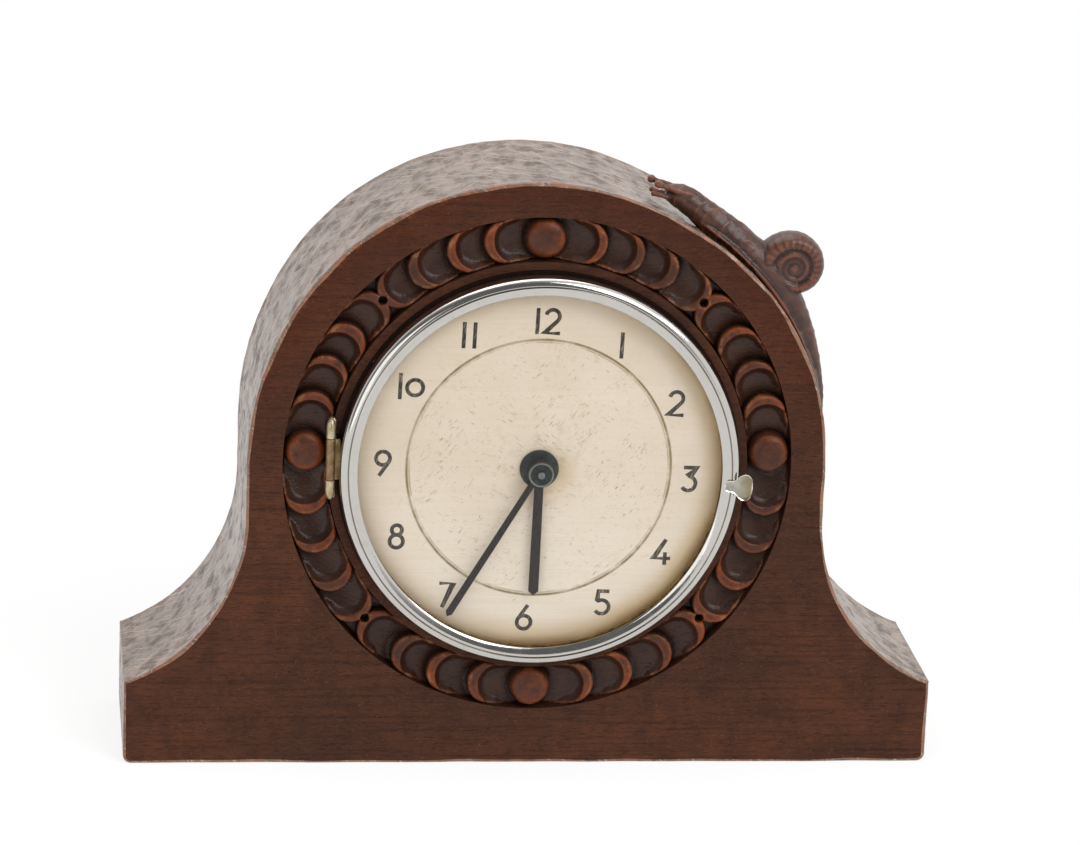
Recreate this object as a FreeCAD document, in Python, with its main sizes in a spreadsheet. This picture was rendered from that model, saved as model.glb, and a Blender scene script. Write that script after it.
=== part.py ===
import FreeCAD, Part
import math
import os
import re

import Sketcher

# Carved shelf clock with a hinged bezel and a wound lever movement.
# World frame: X to the right, Y to the back, Z up, origin in the middle of the base.
# Dial frame, in which nearly every piece is drawn: x to the right and y up from the middle
# of the dial, z towards the viewer from the middle of the case's depth.

Vector = FreeCAD.Vector
doc = FreeCAD.newDocument("ShelfClock")

# Driving dimensions in millimetres, degrees and counts
SIZES = (
    # Oak case
    ("case_width", 290.0),
    ("case_depth", 70.0),
    ("dial_height", 111.0),
    ("arch_radius", 103.0),
    ("foot_height", 30.5),
    ("flank_radius", 65.0),
    ("corner_radius", 3.0),
    ("bore_radius", 50.0),
    ("channel_inner", 75.0),
    ("channel_outer", 91.2),
    ("channel_depth", 6.0),
    # Ring of carved coins, let into the channel
    ("ring_fit", 0.1),
    ("ring_floor", 1.5),
    ("coins_per_side", 4),
    ("coin_radius", 7.9),
    ("coin_sink", 0.4),
    ("coin_rim", 3.4),
    ("coin_slope", 22.0),
    ("ball_radius", 7.3),
    ("ball_rise", 0.9),
    ("side_ball_lift", 3.4),
    ("eye_radius", 1.5),
    # Carved snail on the right shoulder
    ("snail_fit", 0.1),
    ("snail_setback", 12.0),
    ("snail_head_angle", 67.0),
    ("snail_shell_angle", 38.0),
    ("snail_tail_angle", 9.0),
    ("snail_foot_radius", 7.0),
    ("snail_shell_radius", 11.6),
    ("snail_shell_rise", 9.2),
    ("snail_shell_width", 17.0),
    ("snail_whorl_radius", 7.2),
    ("snail_whorl_height", 1.9),
    ("snail_seam_angle", 100.0),
    # Fixed plate under the bezel, and its screws
    ("seat_radius", 71.6),
    ("seat_thickness", 1.2),
    ("seat_opening", 10.0),
    ("seat_screw_circle", 69.2),
    ("seat_screw_angle", 33.0),
    ("screw_shank_radius", 0.9),
    ("screw_head_radius", 1.7),
    ("screw_head_height", 0.8),
    ("screw_length", 9.0),
    ("screw_slot", 0.4),
    ("pilot_clearance", 0.05),
    # Dial
    ("dial_radius", 66.5),
    ("dial_thickness", 0.8),
    ("dial_opening", 4.3),
    ("dial_bevel", 0.3),
    ("bead_radius", 48.0),
    ("bead_width", 1.2),
    ("bead_height", 0.25),
    # Hinged bezel and glass
    ("bezel_gap", 0.3),
    ("bezel_radius", 70.8),
    ("bezel_skirt", 3.4),
    ("bezel_height", 8.3),
    ("bezel_shoulder", 2.6),
    ("bezel_round", 3.0),
    ("bezel_groove", 0.7),
    ("bezel_inner_band", 3.0),
    ("bezel_inner_drop", 0.8),
    ("bezel_lip", 0.8),
    ("glass_fit", 0.15),
    ("glass_radius", 66.4),
    ("glass_thickness", 1.8),
    ("glass_drop", 0.6),
    ("glass_rise", 8.0),
    ("glass_ring_width", 1.7),
    ("glass_ring_height", 1.0),
    # Bezel hinge
    ("hinge_radius", 1.7),
    ("hinge_gap", 0.5),
    ("hinge_centre_up", 3.4),
    ("hinge_length", 29.4),
    ("hinge_middle", 15.0),
    ("hinge_play", 0.2),
    ("hinge_station", 3.2),
    ("hinge_pin_radius", 0.8),
    ("hinge_pin_fit", 0.04),
    ("hinge_leaf_thickness", 1.0),
    ("hinge_wrap", 2.5),
    ("hinge_seat_gap", 0.05),
    # Thumb tab of the bezel
    ("tab_angle", -4.5),
    ("tab_length", 9.6),
    ("tab_inset", 65.6),
    ("tab_width", 9.4),
    ("tab_neck", 3.6),
    ("tab_thickness", 1.2),
    ("tab_gap", 0.05),
    # Movement frame
    ("post_length", 13.0),
    ("post_radius", 2.6),
    ("post_inset", 5.0),
    ("post_angle", 20.0),
    ("post_thread_radius", 1.4),
    ("post_thread_length", 3.8),
    ("nut_radius", 2.4),
    ("nut_height", 1.4),
    ("plate_radius", 42.0),
    ("plate_thickness", 2.0),
    ("plate_gap", 20.0),
    ("pillar_radius", 3.0),
    ("pillar_waist", 2.2),
    ("pillar_collar", 2.5),
    ("pillar_inset", 4.5),
    ("pillar_one_angle", 70.0),
    ("pillar_two_angle", 165.0),
    ("pillar_three_angle", 262.0),
    ("pillar_four_angle", 335.0),
    ("pillar_screw_shank", 1.2),
    ("pillar_screw_head", 2.4),
    ("pillar_screw_height", 1.2),
    ("pillar_screw_depth", 5.0),
    ("arbor_radius", 1.0),
    ("centre_arbor_radius", 1.2),
    ("pivot_radius", 0.35),
    ("running_fit", 0.05),
    ("wheel_fit", 0.03),
    ("end_shake", 0.3),
    # Going train, from the barrel to the escape wheel
    ("barrel_distance", 20.0),
    ("barrel_angle", 215.0),
    ("great_teeth", 72),
    ("great_module", 0.5),
    ("great_level", 1.2),
    ("great_thickness", 1.6),
    ("intermediate_pinion", 12),
    ("intermediate_teeth", 60),
    ("intermediate_module", 0.45),
    ("intermediate_level", 16.3),
    ("centre_pinion", 10),
    ("centre_teeth", 64),
    ("centre_module", 0.36),
    ("centre_level", 17.9),
    ("third_pinion", 8),
    ("third_teeth", 60),
    ("third_module", 0.36),
    ("third_level", 12.0),
    ("third_angle", 60.0),
    ("fourth_pinion", 8),
    ("fourth_teeth", 60),
    ("fourth_module", 0.32),
    ("fourth_level", 6.0),
    ("fourth_angle", -20.0),
    ("escape_pinion", 6),
    ("escape_arbor_radius", 0.5),
    ("escape_angle", -80.0),
    ("wheel_thickness", 1.0),
    ("pinion_overlap", 0.5),
    ("wheel_rim", 1.6),
    ("wheel_hub", 2.6),
    ("wheel_arm", 1.5),
    ("wheel_arms", 4),
    # Spring barrel and winding work
    ("drum_radius", 16.6),
    ("drum_wall", 0.9),
    ("drum_height", 11.4),
    ("drum_cover", 0.9),
    ("barrel_arbor_radius", 1.8),
    ("barrel_hub_radius", 4.0),
    ("barrel_pivot_radius", 1.5),
    ("mainspring_thickness", 0.5),
    ("mainspring_clearance", 0.4),
    ("mainspring_turns", 4),
    ("mainspring_facets", 16),
    ("ratchet_teeth", 24),
    ("ratchet_radius", 9.0),
    ("ratchet_tooth", 1.3),
    ("ratchet_thickness", 1.5),
    ("ratchet_gap", 0.3),
    ("click_angle", 105.0),
    ("click_distance", 14.6),
    ("click_radius", 2.2),
    ("click_pin_radius", 1.0),
    ("click_nose_lead", 35.0),
    ("click_clearance", 0.35),
    ("click_arm_width", 2.6),
    ("click_head_radius", 1.9),
    ("click_head_height", 0.8),
    ("click_spring_thickness", 0.5),
    ("click_spring_gap", 0.25),
    ("click_spring_width", 1.2),
    ("click_spring_foot", 1.6),
    ("click_swing", 10.0),
    ("click_spring_length", 8.0),
    ("square_side", 2.1),
    ("key_gap", 1.2),
    ("key_hub_radius", 3.0),
    ("key_hub_length", 8.0),
    ("key_wing_radius", 6.4),
    ("key_wing_offset", 7.4),
    ("key_wing_thickness", 1.8),
    ("key_wing_drop", 8.6),
    ("key_fit", 0.08),
    # Escapement
    ("escape_wheel_radius", 6.0),
    ("escape_wheel_teeth", 15),
    ("escape_tooth", 1.7),
    ("escape_level", 15.0),
    ("escape_thickness", 0.6),
    ("pallet_distance", 8.4),
    ("pallet_angle", -110.0),
    ("pallet_pin_radius", 0.25),
    ("pallet_pin_clearance", 0.55),
    ("pallet_spread", 30.0),
    ("lever_width", 1.1),
    ("lever_thickness", 0.8),
    ("lever_level", 13.3),
    ("balance_distance", 11.5),
    ("balance_angle", -110.0),
    ("balance_radius", 9.5),
    ("balance_rim", 1.4),
    ("balance_thickness", 1.4),
    ("balance_level", 8.6),
    ("staff_radius", 0.8),
    ("roller_radius", 2.6),
    ("roller_thickness", 0.6),
    ("roller_pin_radius", 0.25),
    ("roller_pin_circle", 2.0),
    ("roller_level", 15.0),
    ("fork_clearance", 0.25),
    ("hairspring_level", 4.2),
    ("hairspring_width", 0.9),
    ("hairspring_thickness", 0.22),
    ("hairspring_gap", 0.5),
    ("hairspring_turns", 5),
    ("hairspring_facets", 14),
    ("collet_radius", 1.5),
    ("collet_gap", 0.25),
    ("stud_side", 1.0),
    ("stud_gap", 0.1),
    ("cone_screw_radius", 1.8),
    ("cone_screw_height", 1.4),
    ("staff_pivot_radius", 0.3),
    ("staff_pivot_length", 1.6),
    ("staff_shoulder", 1.0),
    ("regulator_ring", 3.4),
    ("regulator_width", 1.6),
    ("regulator_thickness", 0.7),
    ("regulator_length", 15.0),
    ("regulator_gap", 0.1),
    ("regulator_tip_radius", 0.9),
    ("regulator_tip_reach", 2.2),
    ("regulator_rest", 285.0),
    ("regulator_swing", 20.0),
    # Motion work and hands
    ("cannon_teeth", 12),
    ("minute_teeth", 36),
    ("minute_module", 0.45),
    ("minute_pinion", 10),
    ("hour_teeth", 40),
    ("motion_level", 1.2),
    ("motion_thickness", 1.0),
    ("motion_step", 2.6),
    ("motion_angle", -30.0),
    ("cannon_pipe_radius", 2.0),
    ("hour_pipe_radius", 3.0),
    ("stud_pin_radius", 1.0),
    ("collet_disc_radius", 6.9),
    ("collet_disc_height", 2.0),
    ("collet_disc_dome", 1.0),
    ("collet_disc_gap", 0.3),
    ("hand_thickness", 0.6),
    ("hour_hand_gap", 0.4),
    ("hour_hand_length", 45.5),
    ("hour_hand_width", 3.6),
    ("hour_hand_root", 3.2),
    ("hour_hand_hub", 4.2),
    ("hour_hand_point", 3.0),
    ("noon_angle", 90.0),
    ("hour_hand_angle", 181.0),
    ("minute_hand_lift", 1.6),
    ("minute_hand_length", 59.5),
    ("minute_hand_width", 3.0),
    ("minute_hand_root", 2.2),
    ("minute_hand_hub", 3.6),
    ("minute_hand_point", 3.4),
    ("minute_hand_angle", 210.5),
    ("hand_nut_gap", 0.3),
    ("hand_nut_neck", 2.4),
    ("hand_nut_neck_length", 2.0),
    ("hand_nut_radius", 4.6),
    ("hand_nut_height", 1.6),
    ("arbor_tip_rise", 0.8),
    ("knob_radius", 5.5),
    ("knob_height", 6.0),
    ("knob_gap", 1.2),
    ("knob_flutes", 16),
    ("knob_flute_radius", 0.6),
    # Dust cover over the movement
    ("cover_play", 2.2),
    ("cover_wall", 0.8),
    ("cover_depth", 15.0),
    ("cover_hole_play", 0.8),
    ("cover_screw_inset", 6.0),
    ("cover_screw_angle", 55.0),
    ("cover_post_radius", 2.0),
    ("cover_screw_head", 2.6),
    ("cover_screw_height", 1.1),
    ("cover_socket_depth", 5.0),
    ("cover_mouth", 1.0),
    ("overrun", 1.0),
)

# Sizes and places that follow from the driving dimensions
PLACES = (
    ("half_width", "case_width / 2"),
    ("face", "case_depth / 2"),
    ("apex", "dial_height + arch_radius"),
    ("foot_inset", "arch_radius + flank_radius - half_width"),
    ("flank_start", "foot_height + sqrt(flank_radius ^ 2 - foot_inset ^ 2)"),
    ("base_corner", "half_width - corner_radius"),
    ("channel_floor", "face - channel_depth"),
    ("ring_radius", "(channel_inner + channel_outer) / 2"),
    ("ring_inner", "channel_inner + ring_fit"),
    ("ring_outer", "channel_outer - ring_fit"),
    ("coin_floor", "channel_floor + ring_floor"),
    ("coin_top", "face - coin_sink"),
    ("ball_z", "face + ball_rise - ball_radius"),
    ("snail_z", "face - snail_setback"),
    ("snail_seat", "arch_radius + snail_fit"),
    ("screw_x", "seat_screw_circle * cos(seat_screw_angle * 1 deg)"),
    ("screw_y", "seat_screw_circle * sin(seat_screw_angle * 1 deg)"),
    ("screw_high", "dial_height + screw_y"),
    ("screw_low", "dial_height - screw_y"),
    # Fixed plate and dial
    ("seat_top", "face + seat_thickness"),
    ("dial_top", "seat_top + dial_thickness"),
    ("dial_edge", "dial_radius - dial_bevel"),
    ("dial_bevel_start", "dial_top - dial_bevel"),
    ("bead_inner", "bead_radius - bead_width / 2"),
    ("bead_outer", "bead_radius + bead_width / 2"),
    ("bead_top", "dial_top + bead_height"),
    ("pilot_radius", "screw_shank_radius + pilot_clearance"),
    ("pilot_depth", "screw_length + overrun / 2"),
    ("screw_bore", "screw_head_radius + pilot_clearance"),
    ("screw_head_z", "seat_top - screw_head_height"),
    ("screw_tip_z", "screw_head_z - screw_length"),
    # Bezel section
    ("bezel_bottom", "seat_top + bezel_gap"),
    ("bezel_inner", "bezel_radius - bezel_skirt"),
    ("bezel_crown", "bezel_bottom + bezel_height"),
    ("bezel_turn", "bezel_crown - bezel_round"),
    ("bezel_flat", "bezel_radius - bezel_shoulder"),
    ("bezel_notch", "bezel_crown - bezel_groove"),
    ("bezel_notch_radius", "bezel_flat - bezel_groove / 2"),
    ("bezel_band", "bezel_notch_radius - bezel_groove / 2"),
    ("bezel_throat", "bezel_band - bezel_inner_band"),
    ("bezel_throat_top", "bezel_crown - bezel_inner_drop"),
    ("bezel_lip_under", "bezel_throat_top - bezel_lip"),
    ("glass_seat_radius", "glass_radius + glass_fit"),
    ("glass_edge_top", "bezel_lip_under - glass_drop"),
    ("glass_edge_under", "glass_edge_top - glass_thickness"),
    ("glass_crown", "glass_edge_top + glass_rise"),
    ("glass_crown_under", "glass_crown - glass_thickness"),
    ("glass_sphere", "(glass_radius ^ 2 + glass_rise ^ 2) / (2 * glass_rise)"),
    ("glass_ring_top", "glass_edge_under - glass_fit"),
    ("glass_ring_under", "glass_ring_top - glass_ring_height"),
    ("glass_ring_inner", "glass_radius - glass_ring_width"),
    # Hinge
    ("hinge_x", "seat_radius + hinge_gap + hinge_radius"),
    ("hinge_z", "face + hinge_station"),
    ("hinge_low", "hinge_centre_up - hinge_length / 2"),
    ("hinge_middle_low", "hinge_centre_up - hinge_middle / 2"),
    ("hinge_middle_high", "hinge_centre_up + hinge_middle / 2"),
    ("hinge_end_length", "(hinge_length - hinge_middle) / 2 - hinge_play"),
    ("hinge_high_start", "hinge_middle_high + hinge_play"),
    ("hinge_bore", "hinge_pin_radius + hinge_pin_fit"),
    ("hinge_middle_length", "hinge_middle_high - hinge_middle_low"),
    ("hinge_reach", "hinge_x - seat_radius + hinge_wrap"),
    ("bezel_leaf_z", "hinge_z - hinge_leaf_thickness / 2"),
    ("tab_z", "bezel_crown + tab_gap"),
    # Movement stations
    ("plate_front", "face - post_length"),
    ("front_plate_under", "plate_front - plate_thickness"),
    ("datum", "front_plate_under - plate_gap"),
    ("back_plate_back", "datum - plate_thickness"),
    ("pivot_hole", "pivot_radius + running_fit"),
    ("arbor_start", "datum + end_shake"),
    ("arbor_length", "plate_gap - 2 * end_shake"),
    ("pivot_start", "back_plate_back + end_shake"),
    ("pivot_length", "plate_gap + 2 * plate_thickness - 2 * end_shake"),
    ("centre_hole", "centre_arbor_radius + running_fit"),
    ("post_circle", "plate_radius - post_inset"),
    ("post_x", "post_circle * cos(post_angle * 1 deg)"),
    ("post_y", "post_circle * sin(post_angle * 1 deg)"),
    ("post_hole", "post_thread_radius + running_fit"),
    ("post_thread_z", "plate_front - post_thread_length"),
    ("nut_z", "front_plate_under - nut_height"),
    ("pillar_hole", "pillar_screw_shank + running_fit"),
    ("pillar_circle", "plate_radius - pillar_inset"),
    ("pillar_one_x", "pillar_circle * cos(pillar_one_angle * 1 deg)"),
    ("pillar_one_y", "pillar_circle * sin(pillar_one_angle * 1 deg)"),
    ("pillar_two_x", "pillar_circle * cos(pillar_two_angle * 1 deg)"),
    ("pillar_two_y", "pillar_circle * sin(pillar_two_angle * 1 deg)"),
    ("pillar_three_x", "pillar_circle * cos(pillar_three_angle * 1 deg)"),
    ("pillar_three_y", "pillar_circle * sin(pillar_three_angle * 1 deg)"),
    ("pillar_four_x", "pillar_circle * cos(pillar_four_angle * 1 deg)"),
    ("pillar_four_y", "pillar_circle * sin(pillar_four_angle * 1 deg)"),
    ("pillar_top_collar_z", "front_plate_under - pillar_collar"),
    ("pillar_screw_length", "plate_thickness + pillar_screw_depth"),
    ("pillar_front_screw_z", "plate_front - pillar_screw_length"),
    ("pillar_back_head_z", "back_plate_back - pillar_screw_height"),
    ("pillar_socket_z", "front_plate_under - pillar_screw_depth - overrun / 2"),
    ("pillar_socket_depth", "pillar_screw_depth + overrun / 2"),
    # Arbor places about the middle of the dial
    ("barrel_x", "barrel_distance * cos(barrel_angle * 1 deg)"),
    ("barrel_y", "barrel_distance * sin(barrel_angle * 1 deg)"),
    ("great_reach", "(great_teeth + intermediate_pinion) * great_module / 2"),
    ("intermediate_reach", "(intermediate_teeth + centre_pinion) * intermediate_module / 2"),
    (
        "intermediate_angle",
        "barrel_angle * 1 deg - acos((barrel_distance ^ 2 + intermediate_reach ^ 2 - great_reach ^ 2)"
        " / (2 * barrel_distance * intermediate_reach))",
    ),
    ("intermediate_x", "intermediate_reach * cos(intermediate_angle)"),
    ("intermediate_y", "intermediate_reach * sin(intermediate_angle)"),
    ("centre_reach", "(centre_teeth + third_pinion) * centre_module / 2"),
    ("third_x", "centre_reach * cos(third_angle * 1 deg)"),
    ("third_y", "centre_reach * sin(third_angle * 1 deg)"),
    ("third_reach", "(third_teeth + fourth_pinion) * third_module / 2"),
    ("fourth_x", "third_x + third_reach * cos(fourth_angle * 1 deg)"),
    ("fourth_y", "third_y + third_reach * sin(fourth_angle * 1 deg)"),
    ("fourth_reach", "(fourth_teeth + escape_pinion) * fourth_module / 2"),
    ("escape_x", "fourth_x + fourth_reach * cos(escape_angle * 1 deg)"),
    ("escape_y", "fourth_y + fourth_reach * sin(escape_angle * 1 deg)"),
    ("pallet_x", "escape_x + pallet_distance * cos(pallet_angle * 1 deg)"),
    ("pallet_y", "escape_y + pallet_distance * sin(pallet_angle * 1 deg)"),
    ("balance_x", "pallet_x + balance_distance * cos(balance_angle * 1 deg)"),
    ("balance_y", "pallet_y + balance_distance * sin(balance_angle * 1 deg)"),
    ("minute_reach", "(cannon_teeth + minute_teeth) * minute_module / 2"),
    ("minute_x", "minute_reach * cos(motion_angle * 1 deg)"),
    ("minute_y", "minute_reach * sin(motion_angle * 1 deg)"),
    ("hour_module", "2 * minute_reach / (minute_pinion + hour_teeth)"),
    ("click_x", "barrel_x + click_distance * cos(click_angle * 1 deg)"),
    ("click_y", "barrel_y + click_distance * sin(click_angle * 1 deg)"),
    # World heights of the arbors
    ("barrel_up", "dial_height + barrel_y"),
    ("intermediate_up", "dial_height + intermediate_y"),
    ("third_up", "dial_height + third_y"),
    ("fourth_up", "dial_height + fourth_y"),
    ("escape_up", "dial_height + escape_y"),
    ("pallet_up", "dial_height + pallet_y"),
    ("balance_up", "dial_height + balance_y"),
    ("minute_up", "dial_height + minute_y"),
    ("click_up", "dial_height + click_y"),
    # Barrel stations
    ("great_z", "datum + great_level"),
    ("drum_outer_z", "great_z + great_thickness"),
    ("drum_top", "drum_outer_z + drum_height"),
    ("drum_inner", "drum_radius - drum_wall"),
    ("drum_cover_top", "drum_top + drum_cover"),
    ("drum_bore", "barrel_arbor_radius + running_fit"),
    ("spring_floor", "drum_outer_z + end_shake"),
    ("spring_height", "drum_height - 2 * end_shake"),
    ("hub_height", "drum_height - 2 * end_shake"),
    ("barrel_pivot_hole", "barrel_pivot_radius + running_fit"),
    ("barrel_pivot_z", "back_plate_back - ratchet_gap / 2"),
    ("barrel_pivot_length", "plate_front - end_shake - barrel_pivot_z"),
    ("square_z", "key_top - key_hub_length / 2"),
    ("square_length", "barrel_pivot_z - square_z"),
    ("cover_back", "datum - plate_thickness - cover_depth"),
    ("cover_inside", "cover_back + cover_wall"),
    ("ratchet_top", "back_plate_back - ratchet_gap"),
    ("ratchet_z", "ratchet_top - ratchet_thickness"),
    ("nose_x", "barrel_x + (ratchet_radius + click_clearance) * cos((click_angle - click_nose_lead) * 1 deg)"),
    ("nose_y", "barrel_y + (ratchet_radius + click_clearance) * sin((click_angle - click_nose_lead) * 1 deg)"),
    ("click_hole", "click_pin_radius + running_fit"),
    ("click_pin_z", "ratchet_z - end_shake"),
    ("click_pin_length", "datum - click_pin_z"),
    ("click_head_z", "click_pin_z - click_head_height"),
    ("key_top", "cover_back - key_gap"),
    ("key_hub_z", "key_top - key_hub_length"),
    ("key_wing_z", "key_top - key_hub_length - key_wing_drop + key_wing_radius"),
    # Escapement stations
    ("escape_z", "datum + escape_level"),
    ("lever_z", "datum + lever_level"),
    ("lever_top", "lever_z + lever_thickness"),
    ("pallet_pin_length", "escape_z + escape_thickness - lever_top + end_shake"),
    ("pallet_pin_ring", "escape_wheel_radius + pallet_pin_radius + pallet_pin_clearance"),
    ("pallet_pin_along", "pallet_distance - pallet_pin_ring * cos(pallet_spread * 1 deg)"),
    ("pallet_pin_aside", "pallet_pin_ring * sin(pallet_spread * 1 deg)"),
    ("fork_end", "balance_distance - roller_pin_circle - roller_pin_radius - fork_clearance"),
    ("balance_z", "datum + balance_level"),
    ("staff_start", "datum + staff_shoulder"),
    ("staff_length", "plate_gap - 2 * staff_shoulder"),
    ("staff_pivot_z", "staff_start - staff_pivot_length"),
    ("staff_pivot_span", "staff_length + 2 * staff_pivot_length"),
    ("staff_pivot_hole", "staff_pivot_radius + running_fit"),
    ("roller_z", "datum + roller_level"),
    ("roller_pin_z", "lever_z - end_shake"),
    ("roller_pin_length", "roller_z - roller_pin_z"),
    ("hairspring_z", "datum + hairspring_level"),
    ("hairspring_inner", "collet_radius + collet_gap"),
    ("hairspring_outer", "hairspring_inner + hairspring_turns * (hairspring_thickness + hairspring_gap)"),
    ("stud_height", "hairspring_level + hairspring_width"),
    ("stud_x", "balance_x + hairspring_outer + hairspring_thickness + stud_gap"),
    ("stud_y", "balance_y - stud_side / 2"),
    ("cone_screw_hole", "cone_screw_radius + running_fit"),
    ("cone_screw_length", "plate_thickness + cone_screw_height"),
    ("cone_back_z", "datum - cone_screw_length"),
    ("cone_hole_z", "datum - staff_shoulder"),
    ("regulator_hole", "cone_screw_radius + 2 * running_fit"),
    ("regulator_top", "back_plate_back - regulator_gap"),
    ("regulator_z", "regulator_top - regulator_thickness"),
    ("regulator_tip_z", "cover_back - regulator_tip_reach"),
    ("regulator_tip_length", "regulator_top - regulator_tip_z"),
    # Motion work stations
    ("cannon_z", "plate_front + motion_level"),
    ("cannon_pinion_height", "motion_thickness + 2 * pinion_overlap"),
    ("minute_z", "cannon_z + pinion_overlap"),
    ("minute_pinion_z", "minute_z + motion_thickness"),
    ("hour_z", "minute_z + motion_step"),
    ("minute_pinion_height", "hour_z + motion_thickness + pinion_overlap - minute_pinion_z"),
    ("stud_pin_length", "hour_z + motion_thickness + 2 * pinion_overlap - plate_front"),
    ("collet_z", "dial_top + collet_disc_gap"),
    ("collet_top", "collet_z + collet_disc_height"),
    ("collet_edge_top", "collet_top - collet_disc_dome"),
    ("hour_hand_z", "collet_top + hour_hand_gap"),
    ("hour_boss_bore", "hour_pipe_radius + wheel_fit"),
    ("minute_hand_bore", "cannon_pipe_radius + wheel_fit"),
    ("hour_pipe_top", "hour_hand_z + hand_thickness"),
    ("hour_pipe_bore", "cannon_pipe_radius + 2 * running_fit"),
    ("minute_hand_z", "hour_hand_z + minute_hand_lift"),
    ("cannon_pipe_top", "minute_hand_z + hand_thickness"),
    ("hand_nut_neck_z", "cannon_pipe_top + hand_nut_gap"),
    ("hand_nut_z", "hand_nut_neck_z + hand_nut_neck_length"),
    ("hand_nut_bore", "centre_arbor_radius + wheel_fit"),
    ("hand_nut_top", "hand_nut_z + hand_nut_height"),
    ("arbor_tip", "hand_nut_top + arbor_tip_rise"),
    ("knob_top", "cover_back - knob_gap"),
    ("knob_z", "knob_top - knob_height"),
    ("centre_arbor_length", "arbor_tip - knob_z"),
    ("cover_inner", "plate_radius + cover_play"),
    ("cover_radius", "cover_inner + cover_wall"),
    ("cover_edge", "plate_front - cover_mouth"),
    ("cover_centre_hole", "centre_arbor_radius + cover_hole_play"),
    ("cover_key_hole", "barrel_pivot_radius + cover_hole_play"),
    ("cover_post_length", "cover_depth - cover_wall"),
    ("cover_screw_circle", "plate_radius - cover_screw_inset"),
    ("cover_screw_x", "cover_screw_circle * cos(cover_screw_angle * 1 deg)"),
    ("cover_screw_y", "cover_screw_circle * sin(cover_screw_angle * 1 deg)"),
    ("cover_screw_z", "cover_back - cover_screw_height"),
    ("cover_screw_hole", "screw_shank_radius + running_fit"),
    ("cover_screw_length", "cover_wall + cover_socket_depth - overrun / 2"),
)

driving = {alias for alias, number in SIZES}
sizes = doc.addObject("Spreadsheet::Sheet", "Sizes")
for row, (alias, number) in enumerate(SIZES, start=1):
    sizes.set("A%d" % row, alias)
    sizes.set("B%d" % row, str(number))
    sizes.setAlias("B%d" % row, alias)
doc.recompute()


def with_sheet(formula):
    """The formula with the sheet's name before each driving dimension."""
    return re.sub(
        r"[a-z_]+",
        lambda word: "Sizes." + word.group() if word.group() in driving else word.group(),
        formula,
    )


places = doc.addObject("Spreadsheet::Sheet", "Places")
for row, (alias, formula) in enumerate(PLACES, start=1):
    places.set("A%d" % row, alias)
    places.setAlias("B%d" % row, alias)
for row, (alias, formula) in enumerate(PLACES, start=1):
    places.set("B%d" % row, "=" + with_sheet(formula))
doc.recompute()


def ref(name):
    """The expression for a cell; a leading minus mirrors it."""
    sign = "-" if name.startswith("-") else ""
    alias = name.lstrip("-")
    return sign + ("Sizes." if alias in driving else "Places.") + alias


def value(name):
    """The number in a cell; a leading minus mirrors it."""
    alias = name.lstrip("-")
    cell = (sizes if alias in driving else places).get(alias)
    number = float(getattr(cell, "Value", cell))
    return -number if name.startswith("-") else number


def count(name):
    return int(round(value(name)))


def polar(radius, degrees):
    angle = math.radians(degrees)
    return Vector(radius * math.cos(angle), radius * math.sin(angle), 0)


# The dial frame seen from the world: x stays, y points up, z points to the front
DIAL_FRAME = FreeCAD.Rotation(Vector(1, 0, 0), 90)
NODES = []


def name_node(obj, label, x=None, up="dial_height", turn=0.0):
    """Give a finished sub-part its label and its place in the clock."""
    spin = FreeCAD.Rotation(Vector(0, 0, 1), turn)
    obj.Placement = FreeCAD.Placement(Vector(), DIAL_FRAME.multiply(spin))
    if x:
        obj.setExpression("Placement.Base.x", ref(x))
    obj.setExpression("Placement.Base.z", ref(up))
    obj.Label = label
    NODES.append(obj)
    return obj


# Sketches whose corners and radii are driven by the sheets
def new_body(name):
    return doc.addObject("PartDesign::Body", name)


def new_sketch(body, role, height=None):
    sketch = body.newObject("Sketcher::SketchObject", body.Name + "_sketch")
    plane = [item for item in body.Origin.OriginFeatures if item.Role == role][0]
    sketch.AttachmentSupport = (plane, "")
    sketch.MapMode = "FlatFace"
    if height:
        sketch.setExpression("AttachmentOffset.Base.z", ref(height))
    return sketch


def drive(sketch, kind, *where):
    """Add one dimension, whose last item names the cell that drives it."""
    index = sketch.addConstraint(Sketcher.Constraint(kind, *where[:-1], value(where[-1])))
    sketch.setExpression("Constraints[%d]" % index, ref(where[-1]))


def fix_point(sketch, geometry, end, x, y):
    if x:
        drive(sketch, "DistanceX", -1, 1, geometry, end, x)
    else:
        sketch.addConstraint(Sketcher.Constraint("PointOnObject", geometry, end, -2))
    if y:
        drive(sketch, "DistanceY", -1, 1, geometry, end, y)
    else:
        sketch.addConstraint(Sketcher.Constraint("PointOnObject", geometry, end, -1))


def add_circle(sketch, radius, x=None, y=None):
    centre = Vector(value(x) if x else 0, value(y) if y else 0, 0)
    index = sketch.addGeometry(Part.Circle(centre, Vector(0, 0, 1), value(radius)), False)
    fix_point(sketch, index, 3, x, y)
    drive(sketch, "Radius", index, radius)


def arc_geometry(start, end, radius):
    """The short arc between two points, and whether it runs from the first to the second.
    A radius above zero turns left on the way, one below zero turns right."""
    chord = end - start
    rise = math.sqrt(max(radius**2 - (chord.Length / 2) ** 2, 0))
    side = Vector(-chord.y, chord.x, 0).normalize() * math.copysign(rise, radius)
    centre = (start + end) / 2 + side
    first, last = (start, end) if radius > 0 else (end, start)
    angles = [math.atan2(point.y - centre.y, point.x - centre.x) for point in (first, last)]
    circle = Part.Circle(centre, Vector(0, 0, 1), abs(radius))
    return Part.ArcOfCircle(circle, angles[0], angles[1]), radius > 0


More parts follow.
